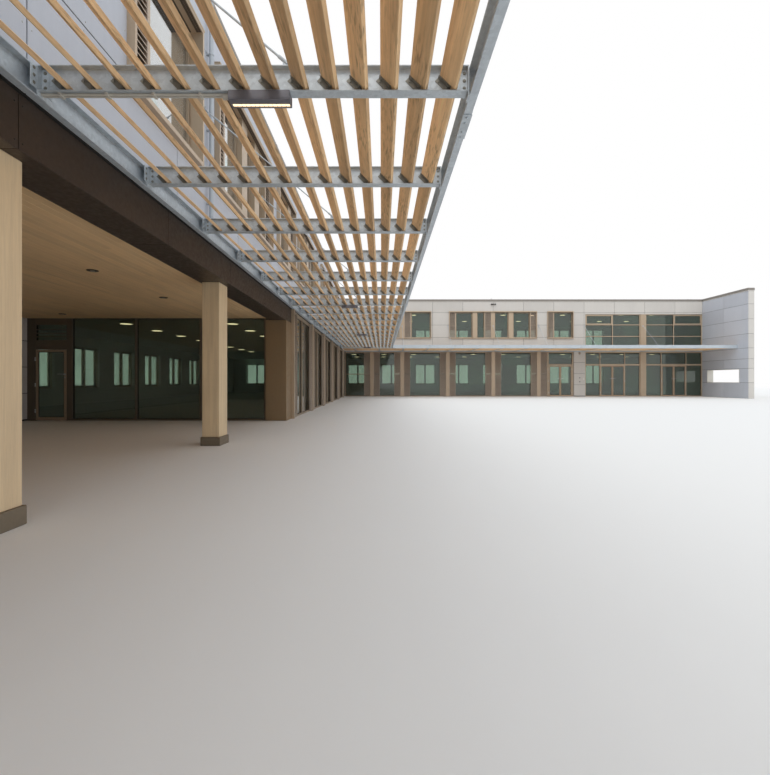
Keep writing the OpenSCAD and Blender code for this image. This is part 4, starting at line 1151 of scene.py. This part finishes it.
class SCHOOL_OT_upper_windows(bpy.types.Operator):
    """Finishes the upper windows with their boxes, caps, sashes, beads and glass"""
    bl_idname = "school.upper_windows"
    bl_label = "Upper windows"

    def execute(self, context):
        g = props("glazing")
        panes, mirrors, sashes, caps, heads = Shape(57), Shape(58), Shape(53), Shape(54), Shape(59)
        sash_t, narrow, skin, over, lip = 0.022, 0.4, 0.004, 0.003, 0.012
        end, top, bar_h = 0.04, 0.035, 0.004
        copied("window_boxes", "window_surrounds", "bronze", "window_metal", 0.002)
        for face, u, w, z in on_walls("window_glass"):
            (mirrors if face is LEFT else panes).block(face, u, w, z)
            width = g.sash if u[1] - u[0] > narrow else g.sash * 0.6
            rim(sashes, face, inset(u, g.bead), (w[1], w[1] + sash_t), inset(z, g.bead), width)
        panes.piece("upper_panes", "glass", "glass", replaces=("window_glass",))
        mirrors.piece("left_upper_panes", "mirror_glass", "glass")
        pane_beads("window_glass", "window_beads")
        for face, u, w, z in window_frames():
            cap, front = inset(u, -over), w[1] + skin
            caps.block(face, cap, (0, front), (z[1], z[1] + skin))
            caps.block(face, cap, (w[1], front), (z[1] - lip, z[1]))
            # The head bars are dark brown, painting the shade under each window head onto the bronze.
            if face in COURT_FACES:
                for bar in HEAD_BARS:
                    heads.block(face, inset(u, end), bar, (z[1] - top - bar_h, z[1] - top))
        heads.piece("window_heads", "head", "window_metal")
        sashes.piece("window_sashes", "sash", "window_metal", bevel=0.0015)
        caps.piece("window_caps", "lining", "window_metal", bevel=0.0008)
        return {"FINISHED"}


class SCHOOL_OT_ground_glazing(bpy.types.Operator):
    """Finishes pilasters, glazing bars, beads and glass of the ground storey"""
    bl_idname = "school.ground_glazing"
    bl_label = "Ground glazing"

    def execute(self, context):
        copied("pilaster_boxes", "pilasters", "bronze", "bronze_metal", 0.002)
        for name, node in (("posts", "ground_mullions"), ("rails", "ground_rails")):
            light, dark = Shape(51), Shape(52)
            light.node(node, lambda low, high: low.x > CORNER.x - WALL)
            dark.node(node, lambda low, high: low.x <= CORNER.x - WALL)
            light.piece("bar_" + name, "sash", "bronze_metal", bevel=0.0015, replaces=(node,))
            dark.piece("recess_bar_" + name, "dark_sash", "bronze_metal", bevel=0.0015)
        dress("ground_glass", "glass")
        pane_beads("ground_glass", "ground_beads")
        self.pressure_caps()
        return {"FINISHED"}

    def pressure_caps(self):
        """Narrow cover caps on the front of the glazing bars, and a rail across the pane by the corner."""
        caps, widest, half, skin, rail_t, rail_z = Shape(55), 0.09, 0.008, 0.004, 0.02, (0.905, 0.93)
        for low, high in solids("ground_mullions"):
            face = FAR if low.y > CORNER.y - WALL else LEFT
            u, w, z = face.span(low, high)
            if max(high.x - low.x, high.y - low.y) <= widest and w[1] > -WALL:
                caps.block(face, about(sum(u) / 2, half), (w[1], w[1] + skin), z)
        u, w, z = min(FAR.span(low, high) for low, high in solids("ground_glass")
                      if low.y > CORNER.y - WALL)
        caps.block(FAR, u, (w[1], w[1] + rail_t), rail_z)
        caps.piece("bar_caps", "bronze", "bronze_metal", bevel=0.001)


class SCHOOL_OT_entrance(bpy.types.Operator):
    """Finishes the two-storey entrance glazing with its opening lights"""
    bl_idname = "school.entrance"
    bl_label = "Entrance glazing"

    def execute(self, context):
        g = props("glazing")
        copied("entrance_posts", "entrance_mullions", "bronze", "bronze_metal")
        copied("entrance_bars", "entrance_rails", "bronze", "bronze_metal")
        dress("entrance_glass", "glass")
        pane_beads("entrance_glass", "entrance_beads")
        panes, lights = FAR.spans("entrance_glass"), Shape(56)
        top = max(z[1] for u, w, z in panes)
        upper = sorted(pane for pane in panes if pane[2][1] > top - 0.01)
        for u, w, z in (upper[0], upper[-1]):
            rim(lights, FAR, inset(u, g.bead), (w[1], w[1] + 0.03), inset(z, g.bead), g.sash * 1.4)
        lights.piece("entrance_lights", "bronze", "bronze_metal", bevel=0.002)
        return {"FINISHED"}


class SCHOOL_OT_doors(bpy.types.Operator):
    """Builds each door leaf with its frame, glass, gaskets, handles and hinges"""
    bl_idname = "school.doors"
    bl_label = "Doors"

    def execute(self, context):
        for joint in frame["joints"]:
            self.leaf(joint["child"], Vector(joint["pos_m"]))
        copied("jamb_hinges", "door_hinges", "stainless", "door_frame", 0)
        return {"FINISHED"}

    def leaf(self, door, hinge):
        """One leaf in the place of its CAD solid, which also holds the leaf's hinge knuckles."""
        g = props("glazing")
        low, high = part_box(door)
        gap, radius = low.z, hinge.y - low.y
        u, w, z = FAR.span(low, high)
        hinge_u, hinge_w = [pair[0] for pair in FAR.span(hinge, hinge)[:2]]
        left_hung = abs(hinge_u - u[0]) < abs(hinge_u - u[1])
        u = (hinge_u + gap / 2, u[1]) if left_hung else (u[0], hinge_u - gap / 2)
        w = (w[0], hinge_w - radius)
        glass = about(sum(w) / 2, DOOR_GLASS / 2)
        leaf, seals, pane, fittings = Shape(61), Shape(62), Shape(63), Shape(64)
        rim(leaf, FAR, u, w, z, g.stile, g.foot)
        inner_u, inner_z = inset(u, g.stile), (z[0] + g.foot, z[1] - g.stile)
        pane.block(FAR, inner_u, glass, inner_z)
        for limits in ((glass[1], glass[1] + DOOR_SEAL), (glass[0] - DOOR_SEAL, glass[0])):
            rim(seals, FAR, inner_u, limits, inner_z, g.bead)
        self.handles(fittings, u, w, left_hung)
        self.knuckles(fittings, hinge_u, hinge_w, radius)
        look = "door" if w[1] > -WALL else "dark_door"
        leaf.piece(door + "_leaf", look, "door_frame", door, bevel=0.0015, replaces=(door,))
        seals.piece(door + "_seals", "gasket", "door_frame", door)
        pane.piece(door + "_pane", "glass", "glass", door)
        fittings.piece(door + "_fittings", "stainless", "door_frame", door, bevel=0.0006)

    def handles(self, shape, u, w, left_hung):
        """A lever handle on both sides of the leaf, with its rose and a lock cylinder under it."""
        g = props("glazing")
        at = u[1] - g.stile / 2 if left_hung else u[0] + g.stile / 2
        tip = at - g.handle_l if left_hung else at + g.handle_l
        height = g.handle_z if w[1] > -WALL else g.recess_z
        for start, way in ((w[1], 1), (w[0], -1)):
            foot = FAR.at(at, start, height)
            neck, end = [FAR.at(spot, start + way * HANDLE_NECK, height) for spot in (at, tip)]
            shape.disc(foot, FAR.out * way, ROSE_R, ROSE_T, 20)
            shape.disc(foot - UP * LOCK_DROP, FAR.out * way, LOCK_R, ROSE_T, 20)
            shape.rod(foot, neck, g.handle_r)
            shape.rod(neck, end, g.handle_r)

    def knuckles(self, shape, hinge_u, hinge_w, radius):
        """The leaf's knuckle of each hinge, between the jamb's two."""
        for u, w, z in FAR.spans("door_hinges"):
            if u[0] - radius < hinge_u < u[1] + radius and abs(w[1] - hinge_w) < 4 * radius:
                heights = about(sum(z) / 2, (z[1] - z[0]) / 5)
                shape.rod(*[FAR.at(hinge_u, hinge_w, height) for height in heights], radius, 16)


# The covered area

def column_bay():
    """Where the first timber column stands along the left face, and half the columns' spacing."""
    columns = sorted(sum(u) / 2 for u, w, z in LEFT.spans("timber_columns"))
    return columns[0], (columns[1] - columns[0]) / 2


class SCHOOL_OT_covered_area(bpy.types.Operator):
    """Builds the soffit boards, downlights, fascia panels, side cladding, columns and pillars"""
    bl_idname = "school.covered_area"
    bl_label = "Covered area"

    def execute(self, context):
        copied("columns", "timber_columns", "column", "column_wood", 0.004)
        copied("bases", "column_bases", "base", "pillar_bronze", 0.003)
        copied("pillars", "bronze_pillars", "pillar", "pillar_bronze", 0.003)
        self.side_wall()
        self.fascia()
        self.soffit()
        self.door_grille()
        return {"FINISHED"}

    def side_wall(self):
        """Grey panels on the side wall, in low rows."""
        clad, walls, width = Cladding(71), Walls(72), props("cladding").plain_width
        u, w, z = RECESS_SIDE.reach("recess_side_wall")
        clad.wall(RECESS_SIDE, steps(*u, u[0] + width, width), [PANEL_FOOT, 0.44, 0.86, 1.28, z[1]])
        clad.pieces("recess_side", "panel")
        walls.block(RECESS_SIDE, u, z, -w[0])
        walls.pieces("recess_side", ("recess_side_wall",))

    def fascia(self):
        """Dark panels on the front, back and underside of the fascia beam, jointed over the columns."""
        plates, core, screws, skin, gap = Shape(73), Shape(74), Spots(), 0.006, 0.004
        u, w, z = LEFT.reach("fascia_beam")
        for bay in pairwise(steps(*u, *column_bay())):
            span = inset(bay, gap / 2)
            plates.block(LEFT, span, (w[1] - skin, w[1]), z)
            plates.block(LEFT, span, (w[0], w[0] + skin), z)
            plates.block(LEFT, span, inset(w, skin + gap / 2), (z[0], z[0] + skin))
            for x in inset(span, 0.02):
                for height in (z[0] + 0.03, z[1] - 0.045):
                    screws.stand(LEFT.at(x, w[1], height), LEFT.out)
        plates.piece("fascia_panels", "fascia", "dark_fascia", bevel=0.001, replaces=("fascia_beam",))
        core.block(LEFT, inset(u, skin), inset(w, skin), (z[0] + skin, z[1]))
        core.piece("fascia_core", "core", "dark_fascia")
        screws.grow("fascia_screws", "screw", "dark", "dark_fascia", Radius=props("cladding").screw,
                    Height=0.002)

    def soffit(self):
        """Narrow boards along the covered area, and round lights under them."""
        c = props("covered")
        boards, deck, rings, lenses = Shape(75), Shape(76), Shape(77), Shape(78)
        long, thick, ring, lights, first = 2.1, 0.012, 0.005, 6, 0.5
        u, w, z = LEFT.reach("timber_soffit")
        rows = round((w[1] - w[0]) / (c.board + c.board_gap))
        pitch = (w[1] - w[0]) / rows
        for i in range(rows):
            at = w[0] + i * pitch
            for a, b in pairwise(steps(*u, u[0] + long * boards.random.random(), long)):
                boards.block(LEFT, (a, b - c.board_gap / 2), (at, at + pitch - c.board_gap),
                             (z[0], z[0] + thick))
        boards.piece("soffit_boards", "soffit", "soffit_wood", bevel=0.0008, replaces=("timber_soffit",))
        deck.block(LEFT, u, w, (z[0] + thick, z[1]))
        deck.piece("soffit_deck", "core", "soffit_wood")
        bay = column_bay()[1]
        for row in c.light_rows:
            for k in range(lights):
                at = LEFT.at(u[0] + first + k * bay, -row, z[0])
                rings.disc(at, -UP, c.light_r, ring, 32)
                lenses.disc(at - UP * ring, -UP, c.light_r * 0.4, 0.002)
        rings.piece("downlight_rings", "dark", "lamp_metal")
        lenses.piece("downlight_lenses", "lens", "lamp_metal")

    def door_grille(self):
        """Level bars in front of the light over the recess door."""
        grille = Shape(79)
        door_low, door_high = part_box("recess_door")
        for low, high in solids("ground_glass"):
            if abs(low.y - door_low.y) < 0.1 and low.x < door_low.x + 0.05 and low.z > door_high.z:
                u, w, z = FAR.span(low, high)
                for shares in GRILLE_BARS:
                    bar = [z[0] + (z[1] - z[0]) * share for share in shares]
                    grille.block(FAR, u, (w[1] + 0.008, w[1] + 0.026), bar)
        grille.piece("recess_grille", "dark_door", "bronze_metal", bevel=0.002)


# The canopies

def beams():
    """Each canopy beam as its court face and its limits on it."""
    faces = [(FAR if high.y - low.y > high.x - low.x else LEFT, low, high)
             for low, high in solids("canopy_beams")]
    return [(face, *face.span(low, high)) for face, low, high in faces]


class SCHOOL_OT_canopy_steel(bpy.types.Operator):
    """Finishes the channels, beams and rods of the canopies, with their bolts and splices"""
    bl_idname = "school.canopy_steel"
    bl_label = "Canopy steel"

    def execute(self, context):
        copied("channels", "canopy_channels", "steel", "galvanised")
        copied("beams", "canopy_beams", "steel", "galvanised", 0.0008)
        self.stays()
        self.cleats()
        self.splices()
        return {"FINISHED"}

    def stays(self):
        """The rods that hold the canopies, between ears on the wall and on the beams."""
        plates, rods, radius, sleeve, pin = Shape(83), Shape(84), 0.005, 0.0078, 0.012
        long, wall_t, beam_t, half_ear = 0.062, 0.006, 0.005, 0.003
        for low, high in solids("stay_rods"):
            face = LEFT if high.x - low.x > 0.5 else FAR
            u, w, z = face.span(low, high)
            middle = sum(u) / 2
            ear = about(middle, half_ear)
            plates.block(face, u, (w[0], w[0] + wall_t), (z[1] - long, z[1]))
            plates.block(face, ear, (w[0] + wall_t, w[0] + 0.04), (z[1] - 0.052, z[1] - 0.012))
            plates.block(face, u, (w[1] - long, w[1]), (z[0], z[0] + beam_t))
            plates.block(face, ear, (w[1] - 0.054, w[1] - 0.012), (z[0] + beam_t, z[0] + 0.036))
            top = face.at(middle, w[0] + 0.026, z[1] - 0.032)
            foot = face.at(middle, w[1] - 0.034, z[0] + 0.022)
            rods.rod(top, foot, radius)
            for shares in ((0.0, 0.035), (0.08, 0.14), (0.965, 1.0)):
                rods.rod(*[top.lerp(foot, share) for share in shares], sleeve)
            for end in (top, foot):
                rods.rod(end - face.along * pin, end + face.along * pin, radius, 10)
        plates.piece("stay_plates", "steel", "galvanised", bevel=0.001, replaces=("stay_rods",))
        rods.piece("stays", "steel", "galvanised")

    def cleats(self):
        """Bolted cleats on both sides of each beam's web at its ends, and wide plates at the wall."""
        c = props("canopy")
        plates, bolts, half_web, skin, plate, joint = Shape(82), Spots(), 0.0015, 0.003, 0.004, 0.001
        under, over, end_bolts, end_t = 0.027, 0.007, 0.016, 0.0375
        for face, u, w, z in beams():
            middle = sum(u) / 2
            tall = (z[0] + under, z[1] - over)
            rows = [tall[0] + (tall[1] - tall[0]) * share for share in (0.17, 0.5, 0.83)]
            for limits, at in (((w[0] + 0.006, w[0] + c.cleat), w[0] + 0.022),
                               ((w[1] - c.cleat, w[1] - 0.006), w[1] - 0.018)):
                for side in (-1, 1):
                    outside = middle + side * (half_web + skin)
                    plates.block(face, sorted((middle + side * half_web, outside)), limits, tall)
                    for height in rows:
                        bolts.stand(face.at(outside, at, height), face.along * side)
            end = FAR_LEN if face is FAR else LEFT_LEN
            for a, b in ((middle - c.wall_plate, u[0] - joint), (u[1] + joint, middle + c.wall_plate)):
                if b < end:
                    plates.block(face, (a, b), (w[0], w[0] + plate), tall)
                    for height in rows:
                        bolts.stand(face.at((a + b) / 2, w[0] + plate, height), face.out)
            for x in about(middle, end_bolts):
                for height in (z[0] + 0.045, z[1] - 0.035):
                    bolts.stand(face.at(x, w[1] + end_t, height), face.out)
        plates.piece("beam_cleats", "steel", "galvanised", bevel=0.0006)
        bolts.grow("cleat_bolts", "bolt", "plate", "galvanised", Radius=c.bolt, Height=c.bolt * 0.8)

    def splices(self):
        """Splice plates on three sides of the outer channel, where its lengths meet."""
        c = props("canopy")
        plates, bolts, half, plate, under = Shape(81), Spots(), 0.105, 0.005, 0.004
        low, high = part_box("canopy_channels")
        z = inset((low.z, high.z), 0.012)
        w = max(FAR.span(a, b)[1][1] for a, b in solids("canopy_channels") if b.x - a.x > b.y - a.y)
        for face, joints in ((FAR, (2.85, 8.5)), (LEFT, (6.6, 11.84, 17.07))):
            for u in joints:
                plates.block(face, about(u, half), (w, w + plate), z)
                plates.block(face, about(u, half), (w - 0.04, w + 0.003), (low.z - under, low.z))
                plates.block(face, about(u, half), (w - 0.011, w - 0.006), z)
                for x in (u - 0.085, u - 0.04, u + 0.04, u + 0.085):
                    for height in inset(z, 0.02):
                        bolts.stand(face.at(x, w + plate, height), face.out)
                    bolts.stand(face.at(x, w - 0.02, low.z - under), -UP)
        plates.piece("channel_splices", "steel", "galvanised", bevel=0.001)
        bolts.grow("splice_bolts", "bolt", "steel", "galvanised", Radius=c.bolt, Height=c.bolt * 0.8)


class SCHOOL_OT_canopy_slats(bpy.types.Operator):
    """Builds the timber slats and the brackets at both ends of each"""
    bl_idname = "school.canopy_slats"
    bl_label = "Canopy slats"

    def execute(self, context):
        c = props("canopy")
        width, thick = self.section()
        brackets, carriers, lift = Spots(), beams(), 0.013
        for node, face, look in (("far_canopy_slats", FAR, "larch_x"),
                                 ("left_canopy_slats_far", LEFT, "larch_y"),
                                 ("left_canopy_slats_near", LEFT, "larch_y")):
            slats, across, down = Spots(), (UP - face.out).normalized(), (-UP - face.out).normalized()
            for u, w, z in face.spans(node):
                depth, height = sum(w) / 2, sum(z) / 2
                slats.add(face.at(sum(u) / 2, depth, height), turn_to(face.along, across), u[1] - u[0])
                for end, way in ((u[0], face.along), (u[1], -face.along)):
                    if any(other is face and beam[0] < end < beam[1] for other, beam, *_ in carriers):
                        spot = face.at(end, depth, height) + across * lift + down * (thick / 2)
                        brackets.add(spot, turn_to(way, down.cross(way)))
            slats.grow(node + "_boards", "slat", look, "larch", (node,), Width=width, Thickness=thick,
                       Rounding=c.slat_round)
        brackets.grow("slat_brackets", "bracket", "plate", "galvanised", Length=c.bracket_l,
                      Leg=c.bracket_w, Thickness=c.bracket_t, Bolt=c.bracket_t * 1.3)
        return {"FINISHED"}

    def section(self):
        """A slat's width and thickness, from the corners of its tilted section."""
        bm = node_mesh("far_canopy_slats")
        corners = [v.co.copy() for v in parts_of(bm)[0]]
        bm.free()
        ring = [v for v in corners if abs(v.x - corners[0].x) < MERGE]
        sides = sorted((ring[0] - v).length for v in ring[1:])
        return sides[1], sides[0]


class SCHOOL_OT_canopy_lamps(bpy.types.Operator):
    """Builds the lamps under the beams with their light strips and conduits"""
    bl_idname = "school.canopy_lamps"
    bl_label = "Canopy lamps"

    def execute(self, context):
        c = props("canopy")
        housings, cells, pipes = Shape(91), Shape(92), Shape(93)
        recess, edge, gap, socket, strap = 0.0055, 0.006, 0.0008, 0.012, 0.012
        for u, w, z in LEFT.spans("canopy_lamps"):
            middle, roof, r = sum(u) / 2, z[0] + recess, c.conduit
            opening, strip = (u[0] + edge, u[0] + 0.03), inset(w, edge)
            housings.block(LEFT, u, w, (roof, z[1]))
            for limits in ((u[0], opening[0]), (opening[1], u[1])):
                housings.block(LEFT, limits, w, (z[0], roof))
            for limits in ((w[0], strip[0]), (strip[1], w[1])):
                housings.block(LEFT, opening, limits, (z[0], roof))
            cell = (strip[1] - strip[0]) / c.lens_rows
            for i in range(c.lens_rows):
                at = strip[0] + i * cell
                cells.block(LEFT, opening, inset((at, at + cell), gap), about(roof, 0.001))
            for x in about(middle, 1.3 * r):
                pipes.rod(LEFT.at(x, 0.0, z[1] - r), LEFT.at(x, w[0], z[1] - r), r, 10)
            ends = [LEFT.at(middle, w[0] - back, z[1] - socket) for back in (0.03, 0.004)]
            pipes.rod(*ends, socket, 16)
            for at in (0.12, 0.32, 0.52, 0.72):
                pipes.block(LEFT, about(middle, 3.4 * r), (at, at + strap), (z[1] - 2.4 * r, z[1]))
        housings.piece("lamp_housings", "housing", "lamp_metal", bevel=0.0012, replaces=("canopy_lamps",))
        cells.piece("lamp_cells", "glow", "lamp_metal", bevel=0.0008)
        pipes.piece("lamp_conduits", "conduit", "galvanised")
        return {"FINISHED"}


# Lamps in the rooms and small fittings

class SCHOOL_OT_room_lamps(bpy.types.Operator):
    """Hangs round lamps under the ceilings behind the glass"""
    bl_idname = "school.room_lamps"
    bl_label = "Room lamps"

    def execute(self, context):
        c = props("rooms")
        rings, lenses, first, free, thick = Shape(95), Shape(96), 0.27, 0.4, 0.03
        for face, end in ((LEFT, LEFT.reach("bronze_pillars")[0][0]), (FAR, FAR_LEN)):
            for ceiling in (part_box("first_floor")[0].z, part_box("roof_slabs")[0].z):
                for row in c.rows:
                    for u in places(first, end - free, c.pitch):
                        spot = face.at(u, -row, ceiling)
                        rings.disc(spot, -UP, c.lamp_r, thick, 32)
                        lenses.disc(spot - UP * thick, -UP, c.lamp_r * 0.86, 0.003, 32)
        rings.piece("room_lamp_rings", "coping", "lamp_metal")
        lenses.piece("room_lamp_lenses", "dim_glow", "lamp_metal")
        return {"FINISHED"}


class SCHOOL_OT_fittings(bpy.types.Operator):
    """Adds the downpipe, floodlights, mast, camera and blank devices"""
    bl_idname = "school.fittings"
    bl_label = "Small fittings"

    def execute(self, context):
        self.downpipe()
        self.floodlights()
        self.entrance_devices()
        return {"FINISHED"}

    def downpipe(self):
        """A light pipe down the left wing's upper wall, with its brackets."""
        pipe, out, radius, strap = Shape(97), 0.04, 0.018, 0.012
        holes = sorted(window_holes(LEFT))
        u = (holes[4][1] + holes[5][0]) / 2
        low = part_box("canopy_channels")[1].z + 0.06
        pipe.rod(LEFT.at(u, out, low), LEFT.at(u, out, WALL_TOP - 0.005), radius, 20)
        pipe.rod(LEFT.at(u, out + 0.004, low), LEFT.at(u, -0.02, low - 0.045), radius, 20)
        for height in (low + 0.12, low + 0.75, low + 1.4):
            pipe.rod(LEFT.at(u, out, height), LEFT.at(u, out, height + strap), radius + 0.004, 20)
            pipe.block(LEFT, about(u, strap), (0, out - radius), (height, height + strap))
        pipe.piece("downpipe", "zinc", "coping_metal", bevel=0.001)

    def floodlights(self):
        """A pair of floodlights under the far coping, and a thin mast on the roof behind them."""
        lamps, u, z, arm, plate, body = Shape(98), 6.1, 3.79, 0.07, (0, 0.012), (0.024, 0.07)
        lamps.block(FAR, about(u, 0.02), plate, about(z, 0.03))
        lamps.block(FAR, about(u, arm), (plate[1], body[0]), about(z, 0.006))
        for x in about(u, arm):
            lamps.block(FAR, about(x, 0.025), body, (z - 0.022, z + 0.018))
            lamps.block(FAR, about(x, 0.029), (body[1], body[1] + 0.005), (z - 0.026, z + 0.022))
        foot, top = [FAR.at(u, -0.35, height) for height in (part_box("roof_slabs")[1].z, 4.1)]
        lamps.rod(foot, top, 0.008)
        lamps.disc(foot, UP, 0.03, 0.006, 16)
        lamps.piece("floodlights", "dark", "lamp_metal", bevel=0.001)

    def entrance_devices(self):
        """A dome camera at the head of the entrance pier, and a call point and two buttons on it."""
        dome, pale, dark = Shape(99), Shape(100), Shape(101)
        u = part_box("entrance_pier")[1].x - CORNER.x
        for radius, start, thick in ((0.05, 0.0, 0.012), (0.042, 0.012, 0.01), (0.036, 0.022, 0.014)):
            dome.disc(FAR.at(u - 0.23, start, 1.773), FAR.out, radius, thick)
        pale.block(FAR, (u - 0.096, u - 0.052), (0, 0.016), (0.67, 0.76))
        pale.block(FAR, (u - 0.088, u - 0.06), (0.016, 0.02), (0.68, 0.75))
        for z in (0.765, 0.605):
            dark.disc(FAR.at(u - 0.228, 0.0, z), FAR.out, 0.02, 0.012, 20)
        dome.piece("dome_camera", "shutter", "lamp_metal", bevel=0.001)
        pale.piece("call_point", "pale_lining", "lamp_metal", bevel=0.003, segments=2)
        dark.piece("entrance_buttons", "dark", "lamp_metal")


# The stage

WHITE = (1, 1, 1, 1)
SKY_COLOUR = (0.92, 0.98, 1.06, 1)
SUN_COLOUR = (1.0, 0.95, 0.88)
SUN_WAY = Vector((0.25, 1.0, -1.1))


class SCHOOL_OT_stage(bpy.types.Operator):
    """Sets up the floor, the sky, the soft sun and the camera"""
    bl_idname = "school.stage"
    bl_label = "Stage"

    def execute(self, context):
        s = props("stage")
        self.camera(s)
        self.floor(s)
        self.sky(s)
        sun = bpy.data.lights.new("Soft sun", "SUN")
        sun.energy, sun.angle, sun.color = s.sun, math.radians(35), SUN_COLOUR
        placed("Soft sun", sun).rotation_euler = SUN_WAY.to_track_quat("-Z", "Y").to_euler()
        context.scene.view_settings.view_transform = "Standard"
        return {"FINISHED"}

    def camera(self, s):
        """A level camera that looks along Y, from the photograph's eye."""
        data = bpy.data.cameras.new("Camera")
        data.lens = s.lens
        data.shift_x, data.shift_y = s.shift
        data.clip_start, data.clip_end = 0.05, 2000
        camera = placed("Camera", data)
        camera.location = s.eye
        camera.rotation_euler = (math.pi / 2, 0, 0)
        bpy.context.scene.camera = camera

    def floor(self, s):
        """A pale floor that turns white far away."""
        mesh = bpy.data.meshes.new("Floor")
        r = s.reach
        mesh.from_pydata([(-r, -r, 0), (r, -r, 0), (r, r, 0), (-r, r, 0)], [], [(0, 1, 2, 3)])
        floor = placed("Floor", mesh)
        floor.location.z = -0.0005
        f = Finish("Pale floor")
        f.set(Base_Color=(*s.ground, 1), Roughness=0.9)
        far = f.add("VectorMath", {0: f.place}, "Value", operation="LENGTH")
        white = f.add("Emission", {"Color": WHITE, "Strength": 1.0})
        mixed = f.add("MixShader", {0: f.range(far, 0.0, 1.0, *s.fade), 1: f.shader.outputs[0], 2: white})
        fill(f.tree, f.tree.nodes["Material Output"].inputs[0], mixed)
        mesh.materials.append(f.material)

    def sky(self, s):
        """An even sky, which the camera and reflections see as white."""
        world = bpy.data.worlds.new("Sky")
        world.use_nodes = True
        tree = world.node_tree
        tree.nodes.clear()
        seen = add(tree, "ShaderNodeLightPath", output="Is Camera Ray")
        for ray in ("Is Glossy Ray", "Is Transmission Ray"):
            other = add(tree, "ShaderNodeLightPath", output=ray)
            seen = add(tree, "ShaderNodeMath", {0: seen, 1: other}, operation="MAXIMUM")
        light = add(tree, "ShaderNodeBackground", {"Color": SKY_COLOUR, "Strength": s.sky})
        white = add(tree, "ShaderNodeBackground", {"Color": WHITE, "Strength": 1.0})
        mixed = add(tree, "ShaderNodeMixShader", {0: seen, 1: light, 2: white})
        add(tree, "ShaderNodeOutputWorld", {0: mixed})
        bpy.context.scene.world = world


class SCHOOL_PT_panel(bpy.types.Panel):
    """Lists the building's sizes, colours and pieces"""
    bl_idname = "SCHOOL_PT_panel"
    bl_label = "School building"
    bl_space_type = "VIEW_3D"
    bl_region_type = "UI"
    bl_category = "School"

    def draw(self, context):
        for name in GROUPS:
            box = self.layout.box()
            box.label(text=name.capitalize())
            group = props(name)
            for key in group.__annotations__:
                box.prop(group, key)
        for operator in PIECES:
            self.layout.operator(operator.bl_idname)


GROUPS = {
    "cladding": SCHOOL_PG_cladding,
    "louvres": SCHOOL_PG_louvres,
    "canopy": SCHOOL_PG_canopy,
    "glazing": SCHOOL_PG_glazing,
    "covered": SCHOOL_PG_covered,
    "rooms": SCHOOL_PG_rooms,
    "colours": SCHOOL_PG_colours,
    "stage": SCHOOL_PG_stage,
}
PIECES = (
    SCHOOL_OT_stage, SCHOOL_OT_court_cladding, SCHOOL_OT_plain_cladding, SCHOOL_OT_structure,
    SCHOOL_OT_shutters, SCHOOL_OT_upper_windows, SCHOOL_OT_ground_glazing, SCHOOL_OT_entrance,
    SCHOOL_OT_doors, SCHOOL_OT_covered_area, SCHOOL_OT_canopy_steel, SCHOOL_OT_canopy_slats,
    SCHOOL_OT_canopy_lamps, SCHOOL_OT_room_lamps, SCHOOL_OT_fittings,
)


def register():
    for name, group in GROUPS.items():
        bpy.utils.register_class(group)
        setattr(bpy.types.Scene, "school_" + name, PointerProperty(type=group))
    for item in (*PIECES, SCHOOL_PT_panel):
        bpy.utils.register_class(item)


def unregister():
    for item in (SCHOOL_PT_panel, *reversed(PIECES)):
        bpy.utils.unregister_class(item)
    for name, group in reversed(GROUPS.items()):
        delattr(bpy.types.Scene, "school_" + name)
        bpy.utils.unregister_class(group)


def main():
    register()
    make_finishes()
    trees.update(screw=screw_tree(), bolt=bolt_tree(), blade=blade_tree(), slat=slat_tree(),
                 bracket=bracket_tree())
    for operator in PIECES:
        getattr(bpy.ops.school, operator.bl_idname.split(".")[1])()


if __name__ == "__main__":
    main()
